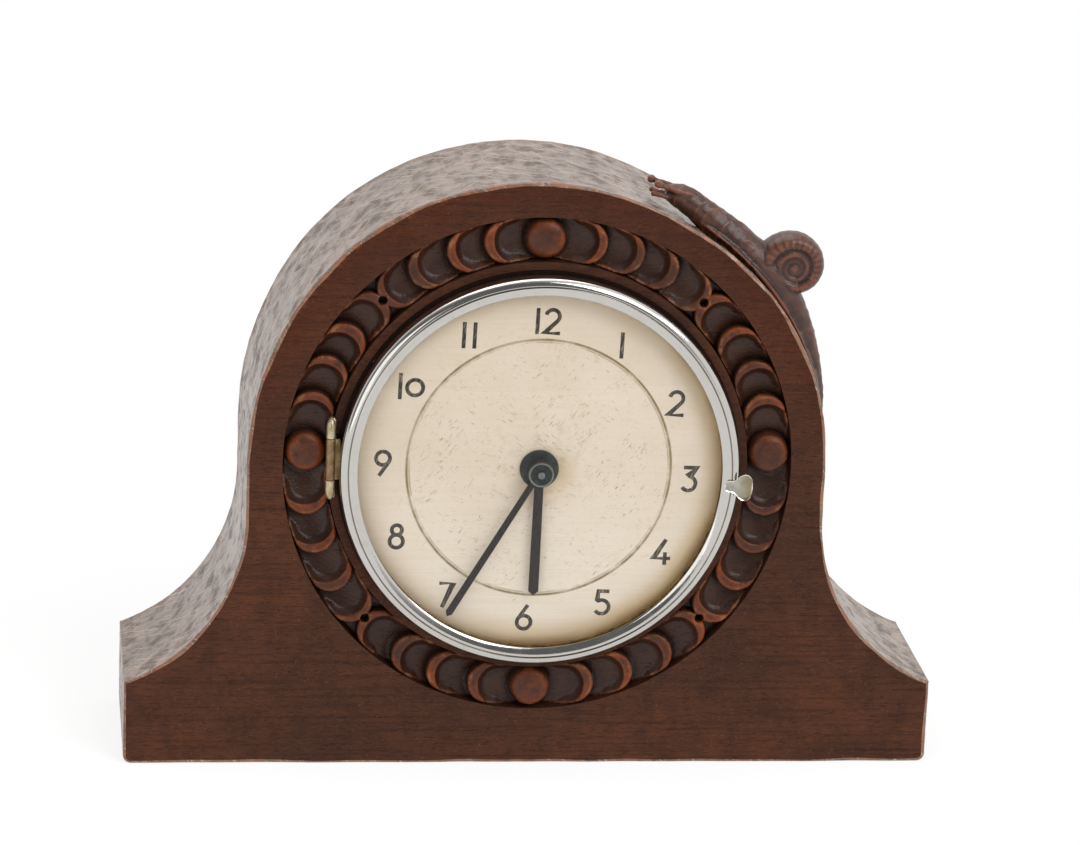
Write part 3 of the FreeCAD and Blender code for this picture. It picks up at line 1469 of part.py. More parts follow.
# Lever with two upright pallet pins and a fork, drawn along its own arm
def pallet_lever():
    half = value("lever_width") / 2
    start, height = value("lever_z"), value("lever_thickness")
    along, aside = value("pallet_pin_along"), value("pallet_pin_aside")
    end = value("fork_end")
    arm = Part.makeBox(end + along + half, 2 * half, height, Vector(-along - half, -half, start))
    yoke = Part.makeBox(2 * half, 2 * (aside + half), height, Vector(-along - half, -aside - half, start))
    depth = value("lever_width")
    fork = Part.makeBox(depth, 4 * half, height, Vector(end - depth, -2 * half, start))
    notch_half = value("roller_pin_radius") + value("fork_clearance")
    notch = Part.makeBox(depth / 2, 2 * notch_half, height, Vector(end - depth / 2, -notch_half, start))
    pins = [
        disc(value("pallet_pin_radius"), start, height + value("pallet_pin_length"), -along, side * aside)
        for side in (-1, 1)
    ]
    boss = disc(value("arbor_radius") + half, start, height)
    bore = disc(value("arbor_radius") + value("wheel_fit"), start, height)
    return arm.multiFuse([yoke, fork, boss] + pins).cut(notch).cut(bore)


place(("pallet_lever", pallet_lever()), "pallet_x", "pallet_up", value("pallet_angle"))
pallet_arbor = disc(value("arbor_radius"), value("arbor_start"), value("arbor_length")).fuse(
    disc(value("pivot_radius"), value("pivot_start"), value("pivot_length"))
)
place(("pallet_arbor", pallet_arbor), "pallet_x", "pallet_up")

# Balance on its staff, hairspring, cone screws and regulator
start, height = value("balance_z"), value("balance_thickness")
rim_inner = value("balance_radius") - value("balance_rim")
balance_rim = disc(value("balance_radius"), start, height).cut(disc(rim_inner, start, height))
spoke_half = value("wheel_arm") / 2
spoke = Part.makeBox(
    2 * (rim_inner + value("balance_rim") / 2),
    2 * spoke_half,
    height,
    Vector(-rim_inner - value("balance_rim") / 2, -spoke_half, start),
)
balance = balance_rim.multiFuse([spoke, disc(value("wheel_hub"), start, height)])
balance = balance.cut(disc(value("staff_radius") + value("wheel_fit"), start, height))
place(("balance_wheel", balance), "balance_x", "balance_up", value("balance_angle"))
roller_pin = disc(
    value("roller_pin_radius"), value("roller_pin_z"), value("roller_pin_length"), -value("roller_pin_circle")
)
staff = disc(value("staff_radius"), value("staff_start"), value("staff_length")).multiFuse(
    [
        disc(value("staff_pivot_radius"), value("staff_pivot_z"), value("staff_pivot_span")),
        disc(value("roller_radius"), value("roller_z"), value("roller_thickness")),
        disc(value("collet_radius"), value("hairspring_z"), value("hairspring_width")),
        roller_pin,
    ]
)
place(("balance_staff", staff), "balance_x", "balance_up", value("balance_angle"))
hairspring = spiral(
    value("hairspring_inner"),
    value("hairspring_outer"),
    count("hairspring_turns"),
    count("hairspring_facets"),
    value("hairspring_thickness"),
    value("hairspring_z"),
    value("hairspring_width"),
)
place(("hairspring", hairspring), "balance_x", "balance_up")
stud = doc.addObject("Part::Box", "stud_block")
stud.setExpression("Length", ref("stud_side"))
stud.setExpression("Width", ref("stud_side"))
stud.setExpression("Height", ref("stud_height"))
move(stud, "stud_x", "stud_y", "datum")
name_node(group("stud_on_plate", [stud]), "hairspring_stud")


def cone_screw(name, start, socket):
    """A bearing screw through a plate, with the blind hole for the staff's pivot."""
    screw = rod(name + "_solid", "cone_screw_radius", start, "cone_screw_length", "balance_x", "balance_y")
    hole = rod(name + "_hole", "staff_pivot_hole", socket, "staff_shoulder", "balance_x", "balance_y")
    return cut(name, screw, hole)


cone_screws = [
    cone_screw("cone_screw_front", "front_plate_under", "front_plate_under"),
    cone_screw("cone_screw_back", "cone_back_z", "cone_hole_z"),
]
name_node(group("balance_cone_screws", cone_screws), "balance_cone_screws")


def regulator():
    start, height = value("regulator_z"), value("regulator_thickness")
    length, width = value("regulator_length"), value("regulator_width")
    tail = Part.makeBox(length, width, height, Vector(0, -width / 2, start))
    ring = disc(value("regulator_ring"), start, height)
    tip = disc(value("regulator_tip_radius"), value("regulator_tip_z"), value("regulator_tip_length"), length)
    return ring.multiFuse([tail, tip]).cut(disc(value("regulator_hole"), start, height))


place(("regulator_lever", regulator()), "balance_x", "balance_up", value("regulator_rest"))

# Motion work between the front plate and the dial
cannon_points, cannon_root = toothed(
    count("cannon_teeth"), value("minute_module"), PINION_SHARES, value("cannon_z"), value("cannon_pinion_height")
)
cannon_bore = disc(
    value("centre_arbor_radius") + value("wheel_fit"),
    value("cannon_z"),
    value("cannon_pipe_top") - value("cannon_z"),
)
cannon_pipe = disc(value("cannon_pipe_radius"), value("cannon_z"), value("cannon_pipe_top") - value("cannon_z"))
cannon = prism(cannon_points, value("cannon_z"), value("cannon_pinion_height")).fuse(cannon_pipe).cut(cannon_bore)
place(("cannon_pinion", cannon), "", "dial_height", direction("", "minute") + 180 / count("cannon_teeth"))
minute_bore = value("stud_pin_radius") + value("running_fit")
minute_wheel = wheel_shape(
    count("minute_teeth"),
    value("minute_module"),
    WHEEL_SHARES,
    minute_bore,
    value("minute_z"),
    value("motion_thickness"),
    count("wheel_arms"),
)
minute_pinion_points, minute_root = toothed(
    count("minute_pinion"),
    value("hour_module"),
    PINION_SHARES,
    value("minute_pinion_z"),
    value("minute_pinion_height"),
)
pinion_turn = 180 / count("minute_pinion")
minute_pinion = prism(minute_pinion_points, value("minute_pinion_z"), value("minute_pinion_height"))
minute_pinion = minute_pinion.cut(disc(minute_bore, value("minute_pinion_z"), value("minute_pinion_height")))
minute_pinion.rotate(Vector(), Vector(0, 0, 1), pinion_turn)
place(("minute_wheel", minute_wheel.fuse(minute_pinion)), "minute_x", "minute_up", direction("minute", ""))
minute_stud = rod("minute_stud_rod", "stud_pin_radius", "plate_front", "stud_pin_length", "minute_x", "minute_y")
name_node(group("minute_stud_group", [minute_stud]), "minute_stud")
hour_blank = wheel_shape(
    count("hour_teeth"),
    value("hour_module"),
    WHEEL_SHARES,
    value("hour_pipe_bore"),
    value("hour_z"),
    value("motion_thickness"),
)
hour_pipe_length = value("hour_pipe_top") - value("hour_z")
hour_pipe = disc(value("hour_pipe_radius"), value("hour_z"), hour_pipe_length)
hour_pipe = hour_pipe.cut(disc(value("hour_pipe_bore"), value("hour_z"), hour_pipe_length))
place(("hour_wheel", hour_blank.fuse(hour_pipe)), "", "dial_height", direction("", "minute"))

# Boss disc, hands and nut
name_node(
    turned(
        "hand_collet",
        (
            ("hour_boss_bore", "collet_z"),
            ("collet_disc_radius", "collet_z"),
            ("collet_disc_radius", "collet_edge_top"),
            ("hour_hand_hub", "collet_top"),
            ("hour_boss_bore", "collet_top"),
        ),
    ),
    "hand_collet",
)


def hand_shape(prefix, bore, station):
    """A flat hand along the x axis: hub, tapering blade and pointed tip."""
    length, point = value(prefix + "_length"), value(prefix + "_point")
    root_half, end_half = value(prefix + "_root") / 2, value(prefix + "_width") / 2
    start, height = value(station), value("hand_thickness")
    blade = prism(
        [
            Vector(0, -root_half, 0),
            Vector(length - point, -end_half, 0),
            Vector(length, 0, 0),
            Vector(length - point, end_half, 0),
            Vector(0, root_half, 0),
        ],
        start,
        height,
    )
    hub = disc(value(prefix + "_hub"), start, height)
    return hub.fuse(blade).cut(disc(value(bore), start, height))


hour_hand = hand_shape("hour_hand", "hour_boss_bore", "hour_hand_z")
place(("hour_hand", hour_hand), "", "dial_height", value("noon_angle") - value("hour_hand_angle"))
minute_hand = hand_shape("minute_hand", "minute_hand_bore", "minute_hand_z")
place(("minute_hand", minute_hand), "", "dial_height", value("noon_angle") - value("minute_hand_angle"))
name_node(
    turned(
        "hand_nut",
        (
            ("hand_nut_bore", "hand_nut_neck_z"),
            ("hand_nut_neck", "hand_nut_neck_z"),
            ("hand_nut_neck", "hand_nut_z"),
            ("hand_nut_radius", "hand_nut_z"),
            ("hand_nut_radius", "hand_nut_top"),
            ("hand_nut_bore", "hand_nut_top"),
        ),
    ),
    "hand_nut",
)

# Setting knob and winding key at the back
start, height = value("knob_z"), value("knob_height")
flutes = []
for flute in range(count("knob_flutes")):
    spot = polar(value("knob_radius"), 360 * flute / count("knob_flutes"))
    flutes.append(disc(value("knob_flute_radius"), start, height, spot.x, spot.y))
knob = disc(value("knob_radius"), start, height).cut(Part.makeCompound(flutes))
knob = knob.cut(disc(value("centre_arbor_radius") + value("wheel_fit"), start, height))
place(("setting_knob", knob), "", "dial_height")


def winding_key():
    hub = disc(value("key_hub_radius"), value("key_hub_z"), value("key_hub_length"))
    half = value("key_wing_thickness") / 2
    wings = []
    for side in (-1, 1):
        spot = Vector(side * value("key_wing_offset"), half, value("key_wing_z"))
        wings.append(Part.makeCylinder(value("key_wing_radius"), 2 * half, spot, Vector(0, -1, 0)))
    bridge_drop = value("key_hub_z") - value("key_wing_z")
    bridge_corner = Vector(-value("key_wing_offset"), -half, value("key_wing_z"))
    bridge = Part.makeBox(2 * value("key_wing_offset"), 2 * half, bridge_drop, bridge_corner)
    socket_side = value("square_side") + 2 * value("key_fit")
    socket = square_bar(socket_side, value("square_z"), value("key_top") - value("square_z"))
    return hub.multiFuse(wings + [bridge]).cut(socket)


place(("winding_key", winding_key()), "barrel_x", "barrel_up")


# Dust cover: a brass can with holes for the arbors and a curved slot for the regulator
def dust_cover():
    back, wall = value("cover_back"), value("cover_wall")
    can = disc(value("cover_radius"), back, value("cover_edge") - back)
    can = can.cut(disc(value("cover_inner"), back + wall, value("cover_edge") - back))
    holes = [
        disc(value("cover_centre_hole"), back, wall),
        disc(value("cover_key_hole"), back, wall, value("barrel_x"), value("barrel_y")),
    ]
    for side in (-1, 1):
        x, y = side * value("cover_screw_x"), side * value("cover_screw_y")
        holes.append(disc(value("cover_screw_hole"), back, wall, x, y))
    radius, half = value("regulator_length"), value("regulator_tip_radius") + value("cover_hole_play")
    rest, swing = value("regulator_rest"), value("regulator_swing")
    outer = Part.makeCylinder(radius + half, wall, Vector(0, 0, back), Vector(0, 0, 1), 2 * swing)
    slot = outer.cut(disc(radius - half, back, wall))
    slot.rotate(Vector(), Vector(0, 0, 1), rest - swing)
    ends = [polar(radius, rest + side * swing) for side in (-1, 1)]
    slot = slot.multiFuse([disc(half, back, wall, end.x, end.y) for end in ends])
    slot.translate(Vector(value("balance_x"), value("balance_y"), 0))
    return can.cut(Part.makeCompound(holes)).cut(slot)


name_node(formed("dust_cover", dust_cover()), "dust_cover")
cover_posts = []
cover_screws = []
for side in ("", "-"):
    word = "first" if side else "second"
    x, y = side + "cover_screw_x", side + "cover_screw_y"
    post = rod("cover_post_" + word, "cover_post_radius", "cover_inside", "cover_post_length", x, y)
    socket = rod("cover_socket_" + word, "cover_screw_hole", "cover_inside", "cover_socket_depth", x, y)
    cover_posts.append(cut("cover_post_drilled_" + word, post, socket))
    cover_screws.append(
        slotted_screw(
            "cover_screw_" + word,
            ("cover_screw_head", "cover_screw_z", "cover_screw_height"),
            ("screw_shank_radius", "cover_back", "cover_screw_length"),
            x,
            y,
        )
    )
name_node(group("cover_posts", cover_posts), "cover_posts")
name_node(group("dust_cover_screws", cover_screws), "dust_cover_screws")

# Check every object and write one file for each node
doc.recompute()
for obj in doc.Objects:
    if "Invalid" in obj.State or "Error" in obj.State:
        raise RuntimeError("%s failed: %s" % (obj.Name, ", ".join(obj.State)))
for node in NODES:
    if node.Shape.isNull() or not node.Shape.isValid():
        raise RuntimeError("%s has no valid shape" % node.Label)
os.makedirs("parts", exist_ok=True)
for node in NODES:
    node.Shape.exportStep("parts/%s.step" % node.Label)
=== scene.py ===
from math import asin, atan2, cos, degrees, dist, exp, hypot, pi, radians, sin, sqrt

import bmesh
import bpy
import numpy as np
from mathutils import Matrix, Vector, noise
from mathutils.geometry import delaunay_2d_cdt


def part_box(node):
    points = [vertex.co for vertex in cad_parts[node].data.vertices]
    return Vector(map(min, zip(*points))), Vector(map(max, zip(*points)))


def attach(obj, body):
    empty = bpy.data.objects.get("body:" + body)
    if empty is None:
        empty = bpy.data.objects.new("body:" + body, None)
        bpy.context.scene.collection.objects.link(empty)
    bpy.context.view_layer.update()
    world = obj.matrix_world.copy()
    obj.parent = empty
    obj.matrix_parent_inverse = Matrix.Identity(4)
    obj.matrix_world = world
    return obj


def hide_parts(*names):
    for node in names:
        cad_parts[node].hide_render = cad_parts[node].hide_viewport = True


bl_info = {
    "name": "Carved shelf clock",
    "version": (1, 0, 0),
    "blender": (4, 5, 0),
    "location": "View3D > Sidebar > Shelf Clock",
    "description": "Dresses a carved oak shelf clock with a hinged bezel",
    "category": "Object",
}

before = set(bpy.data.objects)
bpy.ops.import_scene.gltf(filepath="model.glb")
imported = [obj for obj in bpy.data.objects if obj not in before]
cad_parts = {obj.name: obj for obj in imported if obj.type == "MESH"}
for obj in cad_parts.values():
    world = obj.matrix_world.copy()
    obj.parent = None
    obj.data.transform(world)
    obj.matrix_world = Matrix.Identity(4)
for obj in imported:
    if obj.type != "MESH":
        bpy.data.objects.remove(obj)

MM = 0.001
DIAL_UP = (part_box("bezel_frame")[0].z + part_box("bezel_frame")[1].z) / 2
FACE = -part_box("case_body")[0].y
ARCH_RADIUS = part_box("case_body")[1].z - DIAL_UP
HALF_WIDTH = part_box("case_body")[1].x
DIAL_TOP = -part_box("dial_plate")[0].y
ROUND = 720  # segments of the case's circles


def tint(code):
    """A colour written as six hex digits, as linear red, green, blue and alpha."""
    shares = [int(code[start : start + 2], 16) / 255 for start in (0, 2, 4)]
    linear = [
        share / 12.92 if share <= 0.04045 else ((share + 0.055) / 1.055) ** 2.4 for share in shares
    ]
    return (*linear, 1.0)


# Sizes and colours that can be changed in the sidebar
def length(name, description, default):
    return bpy.props.FloatProperty(
        name=name, description=description, default=default, min=0.0, precision=5, unit="LENGTH"
    )


def colour(name, description, code):
    settings = {"default": tint(code), "size": 4, "min": 0.0, "max": 1.0, "subtype": "COLOR"}
    return bpy.props.FloatVectorProperty(name=name, description=description, **settings)


class SHELFCLOCK_PG_sizes(bpy.types.PropertyGroup):
    """Sizes of the clock's dressed surfaces."""

    foot_height: length("Foot height", "Height of the foot's square end", 30.5 * MM)
    flank_radius: length("Flank radius", "Radius of the hollow flank over each foot", 65.0 * MM)
    corner_radius: length("Corner radius", "Rounding of the two lower corners", 3.0 * MM)
    edge_wear: length("Edge wear", "Rounding that handling has put on the case's edges", 1.1 * MM)
    adze_pitch: length("Adze pitch", "Distance from one adze cut to the next", 8.5 * MM)
    adze_depth: length("Adze depth", "Depth of an adze cut", 0.75 * MM)
    bore_radius: length("Bore radius", "Radius of the bore through the case", 50.0 * MM)
    channel_inner: length("Channel inner radius", "Inner radius of the ring's channel", 74.5 * MM)
    channel_outer: length("Channel outer radius", "Outer radius of the ring's channel", 90.4 * MM)
    channel_depth: length("Channel depth", "Depth of the ring's channel", 6.0 * MM)
    coin_radius: length("Coin radius", "Radius of a carved coin", 7.9 * MM)
    coin_rim: length("Coin rim", "Width of a coin's crescent", 3.4 * MM)
    ball_radius: length("Ball radius", "Radius of a carved ball", 7.6 * MM)
    eye_radius: length("Eye radius", "Radius of a drilled eye", 1.5 * MM)
    number_height: length("Number height", "Height of a number on the dial", 9.5 * MM)
    number_stroke: length("Number stroke", "Width of a number's stroke", 1.38 * MM)
    line_circle: length("Line circle", "Radius of the pressed line on the dial", 46.9 * MM)


class SHELFCLOCK_PG_colours(bpy.types.PropertyGroup):
    """Colours of the clock's finishes."""

    oak_front: colour("Oak front", "Stained oak of the front", "44291e")
    oak_shade: colour("Oak shade", "Darker streaks and pores of the oak", "24120e")
    oak_worn: colour("Oak worn", "Oak where the stain has rubbed away", "8a5330")
    oak_top: colour("Oak top", "Adzed oak of the top and the sides", "785e4a")
    oak_scratch: colour("Oak scratch", "Pale scratches in the adzed oak", "dcc6b0")
    ring_oak: colour("Ring oak", "Stained oak of the carved ring", "331b10")
    dial_cream: colour("Dial cream", "Paint of the dial", "e6d5c1")
    dial_rust: colour("Dial rust", "Stain near the rim of the dial", "9a6b2c")
    number_paint: colour("Number paint", "Paint of the numbers", "2c221d")
    chrome: colour("Chrome", "Plating of the bezel", "c8c5c0")
    hand_brown: colour("Hand brown", "Blackened steel of the hands", "1d110d")
    boss_green: colour("Boss green", "Patina of the boss", "0e1210")
    hinge_brass: colour("Hinge brass", "Aged brass of the hinge's ends", "d3c4a6")
    hinge_bronze: colour("Hinge bronze", "Browned brass of the hinge's middle", "9d8462")
    movement_brass: colour("Movement brass", "Lacquered brass of the movement", "b8954e")
    steel: colour("Steel", "Polished steel of the movement", "8d8f93")
    blued_steel: colour("Blued steel", "Blued steel of the springs", "2c3656")
    floor: colour("Floor", "Floor and backdrop", "fafaf9")


# Shader maths
class Field:
    """A value that changes over a surface; maths on it adds the shader nodes that do it."""

    def __init__(self, finish, socket):
        self.finish = finish
        self.socket = socket

    def math(self, operation, *others, **settings):
        return self.finish.math(operation, self, *others, **settings)

    def __add__(self, other):
        return self.math("ADD", other)

    __radd__ = __add__

    def __sub__(self, other):
        return self.math("SUBTRACT", other)

    def __rsub__(self, other):
        return self.finish.math("SUBTRACT", other, self)

    def __mul__(self, other):
        return self.math("MULTIPLY", other)

    def __truediv__(self, other):
        return self.math("DIVIDE", other)

    def __pow__(self, other):
        return self.math("POWER", other)

    def clamped(self):
        return self.math("ADD", 0.0, use_clamp=True)

    def step(self, low, high):
        """Nought below low, one above high, smooth between; low may be above high."""
        ends = (low, high, 0.0, 1.0) if low < high else (high, low, 1.0, 0.0)
        inputs = dict(enumerate((self, *ends)))
        return self.finish.read("ShaderNodeMapRange", inputs, interpolation_type="SMOOTHSTEP")


class Finish:
    """A material or a world as shaders and the fields that feed them."""

    def __init__(self, block, output="ShaderNodeOutputMaterial"):
        self.block = block
        block.use_nodes = True
        self.tree = block.node_tree
        self.tree.nodes.clear()
        self.output = self.node(output)
        self.places = self.node("ShaderNodeTexCoord")

    def node(self, kind, inputs=None, **settings):
        """Any node, from its type, the values or links of its sockets, and its settings."""
        made = self.tree.nodes.new(kind)
        for key, setting in settings.items():
            setattr(made, key, setting)
        for key, entry in (inputs or {}).items():
            entry = entry.socket if isinstance(entry, Field) else entry
            if isinstance(entry, bpy.types.NodeSocket):
                self.tree.links.new(entry, made.inputs[key])
            else:
                made.inputs[key].default_value = entry
        return made

    def read(self, kind, inputs=None, output=0, **settings):
        return Field(self, self.node(kind, inputs, **settings).outputs[output])

    def math(self, operation, *entries, **settings):
        inputs = dict(enumerate(entries))
        return self.read("ShaderNodeMath", inputs, operation=operation, **settings)

    def noise(self, place, detail, roughness):
        inputs = {"Vector": place, "Scale": 1.0, "Detail": detail, "Roughness": roughness}
        return self.read("ShaderNodeTexNoise", inputs)

    def grain(self, lengths, detail=4, roughness=0.6, lean=0.0):
        """Noise in grains of one or three lengths in millimetres, leant sideways."""
        lengths = lengths if isinstance(lengths, tuple) else (lengths,) * 3
        inputs = {"Vector": self.places.outputs["Object"], "Rotation": (0.0, lean, 0.0)}
        inputs["Scale"] = [length * MM for length in lengths]
        place = self.read("ShaderNodeMapping", inputs, vector_type="TEXTURE")
        return self.noise(place, detail, roughness)

    def scores(self, lean, width, reach):
        """Fine straight scores that cross a top or a flank at a slant."""
        x, y, z = self.axis("X"), self.axis("Y"), self.axis("Z")
        across = ((x + z) * 0.6 + y * lean) / width
        place = self.read("ShaderNodeCombineXYZ", {0: across, 1: (x - z) / reach, 2: y / reach})
        return self.noise(place, 2, 0.6)

    def attribute(self, name):
        return self.read("ShaderNodeAttribute", output="Fac", attribute_name=name)

    def axis(self, name):
        """One coordinate of the place on the object, in millimetres."""
        return self.read("ShaderNodeSeparateXYZ", {0: self.places.outputs["Object"]}, name) / MM

    def on_dial(self):
        """Places across and above the dial's middle, and the distance from it, in millimetres."""
        across, up = self.axis("X"), self.axis("Z") - DIAL_UP / MM
        return across, up, (across * across + up * up) ** 0.5

    def blend(self, share, first, second):
        inputs = {0: share, 6: shade(first), 7: shade(second)}
        return self.read("ShaderNodeMix", inputs, 2, data_type="RGBA")

    def coats(self, base, *coats):
        """A colour under thin coats, each a share and a colour."""
        for share, coat in coats:
            base = self.blend(share, base, coat)
        return base

    def bump(self, height, distance, strength):
        inputs = {"Height": height, "Distance": distance, "Strength": strength}
        return self.read("ShaderNodeBump", inputs)

    def show(self, shader):
        """Link a shader to the output."""
        self.tree.links.new(shader.outputs[0], self.output.inputs["Surface"])
        return self.block

    def show_mix(self, share, first, second):
        """Link one shader under a share of another to the output."""
        sockets = {0: share, 1: first.outputs[0], 2: second.outputs[0]}
        return self.show(self.node("ShaderNodeMixShader", sockets))

    def close(self, base, roughness, normal=None, **others):
        """Finish with a Principled shader; an underscore stands for a space in a socket's name."""
        inputs = {"Base Color": base, "Roughness": roughness}
        inputs |= {key.replace("_", " "): entry for key, entry in others.items()}
        if normal:
            inputs["Normal"] = normal
        return self.show(self.node("ShaderNodeBsdfPrincipled", inputs))


def sizes():
    return bpy.context.scene.shelf_clock_sizes


def colours():
    return bpy.context.scene.shelf_clock_colours


def shade(entry):
    """A field as it is, a colour of the sidebar from its name, or another from its six digits."""
    if isinstance(entry, Field):
        return entry
    return tuple(getattr(colours(), entry)) if hasattr(colours(), entry) else tint(entry)


def finish_once(maker):
    """The material of a maker of finishes, made the first time that it is asked for."""
    name = maker.__name__ + "_finish"
    return bpy.data.materials.get(name) or maker(Finish(bpy.data.materials.new(name)))


# Finishes
def oak_front(oak):
    """Dark stained oak: sideways grain, short dark pores, rubbed edges, warm along the arch."""
    cloud = oak.grain((60, 60, 26))
    blotch = oak.grain((9, 9, 12), 4, 0.65)
    streak = oak.grain((40, 30, 1.3), 4, 0.65)
    pores = oak.grain((3.0, 3.0, 0.3), 2, 0.65).step(0.56, 0.68)
    fleck = oak.grain((1.1, 1.1, 0.8), 2, 0.6).step(0.6, 0.72)
    nicks = oak.grain((0.5, 0.5, 2.6), 2, 0.6, 0.35).step(0.7, 0.76)
    wear = oak.attribute("wear")
    patchy = oak.grain(5, 4, 0.75)
    rubbed = (wear * (patchy * 2.6 - 0.75)).step(0.25, 0.8)
    warm = oak.attribute("warm") * (0.45 + blotch * 0.7)
    base = oak.coats(
        "oak_front",
        (cloud.step(0.32, 0.68), "54311f"),
        (blotch.step(0.42, 0.66) * 0.42, "33201a"),
        (warm * 0.85, "4c220a"),
        (streak.step(0.45, 0.7) * 0.5, "2c1913"),
        (pores * 0.5, "oak_shade"),
        (fleck * 0.3, "7c4526"),
        (nicks * 0.35, "8f6a52"),
        (rubbed * 0.9, "oak_worn"),
        # painted shade: darker on the walls and floor of the ring's channel and in the bore
        (oak.attribute("dirt") * 0.75, "1c0f0b"),
    )
    roughness = 0.46 + blotch * 0.14 + pores * 0.1 - warm * 0.12
    normal = oak.bump(streak * 0.3 - pores * 0.8 + cloud * 0.4, 0.00025, 0.6)
    return oak.close(base, roughness, normal, Specular_IOR_Level=0.12)


def oak_adzed(oak):
    """Adzed oak: brown under a worn polish that mirrors softly at a slant, scored across."""
    cloud = oak.grain(24)
    grain = oak.grain((2.0, 30, 2.0))
    patch = oak.grain((6, 10, 6), 4, 0.65).step(0.45, 0.66)
    one = oak.scores(0.8, 0.75, 16).step(0.56, 0.7)
    other = oak.scores(-0.9, 0.65, 13).step(0.58, 0.72)
    scratches = (one + other).clamped()
    wear = oak.attribute("wear")
    ridge = oak.attribute("ridge")
    rubbed = (wear * (oak.grain(5, 4, 0.75) * 2.6 - 0.7)).step(0.3, 0.85)
    base = oak.coats(
        "oak_top",
        (cloud.step(0.32, 0.7), "624a38"),
        (grain.step(0.45, 0.7) * 0.5, "382a1f"),
        (patch * 0.6, "33261c"),
        (scratches * 0.5, "oak_scratch"),
        (ridge * 0.2, "9c8a78"),
        (rubbed * 0.85, "oak_worn"),
    )
    roughness = 0.3 + cloud * 0.15 + patch * 0.25 + scratches * 0.2
    normal = oak.bump(grain * 0.5 - scratches * 0.4 + cloud * 0.4, 0.0003, 0.6)
    polish = {"Coat_Weight": 0.5 - patch * 0.28, "Coat_Roughness": 0.26}
    return oak.close(base, roughness, normal, Specular_IOR_Level=0.6, **polish)


def oak_carved(oak):
    """Carved oak: glossy, with painted shade in the hollows, rubbed to orange brown on the crests.
    """
    cloud = oak.grain(9, 3, 0.6)
    region = oak.grain(38, 2, 0.5).step(0.38, 0.62)
    streak = oak.grain((16, 16, 0.9), 4, 0.65)
    pores = oak.grain((3.2, 3.2, 0.35), 2, 0.6).step(0.6, 0.74)
    wear = oak.attribute("wear")
    dirt = oak.attribute("dirt")
    proud = oak.attribute("crest")
    patchy = oak.grain(5, 4, 0.7)
    rubbed = ((wear * 0.7 + proud * 0.55) * (patchy * 2.4 - 0.4)).step(0.15, 1.0)
    rubbed = rubbed * (0.35 + region * 0.65)
    line = (wear * (patchy * 2.2 - 0.5)).step(0.55, 0.95)
    base = oak.coats(
        "ring_oak",
        (cloud.step(0.35, 0.7), "3f2416"),
        (streak.step(0.45, 0.7) * 0.5, "2a1810"),
        (pores * 0.5, "oak_shade"),
        (rubbed * 0.8, "7e3a10"),
        (line * 0.3, "a87f5c"),
        # painted shade: darker in the hollows of the carving
        (dirt * 0.7, "170d09"),
    )
    roughness = 0.24 + cloud * 0.14 + rubbed * 0.14
    normal = oak.bump(streak * 0.5 - pores * 0.6 + cloud * 0.5, 0.00025, 0.6)
    return oak.close(base, roughness, normal, Specular_IOR_Level=0.3)


def chrome_plate(metal):
    """Worn chrome plate with dull patches and pits."""
    haze = metal.grain(7)
    pits = metal.grain(0.8, 2, 0.6).step(0.68, 0.76)
    base = metal.coats(
        "chrome",
        (haze.step(0.45, 0.75) * 0.3, "b9b4aa"),
        (pits * 0.5, "6d6558"),
    )
    roughness = 0.09 + haze.step(0.4, 0.8) * 0.12 + pits * 0.3
    normal = metal.bump(haze, 0.00008, 0.5)
    return metal.close(base, roughness, normal, Metallic=1.0)


def aged_metal(name, colour_name, low, high, spots, rough):
    """A maker of an aged metal, under its own name, with a stain and spots."""

    def maker(metal):
        cloud = metal.grain(3)
        speck = metal.grain(0.5, 3, 0.7).step(0.55, 0.72)
        base = metal.coats(
            colour_name,
            (cloud.step(0.35, 0.7), low),
            (speck * spots, high),
        )
        normal = metal.bump(cloud + speck, 0.00008, 0.7)
        return metal.close(base, rough + cloud * 0.2, normal, Metallic=0.85)

    maker.__name__ = name
    return maker


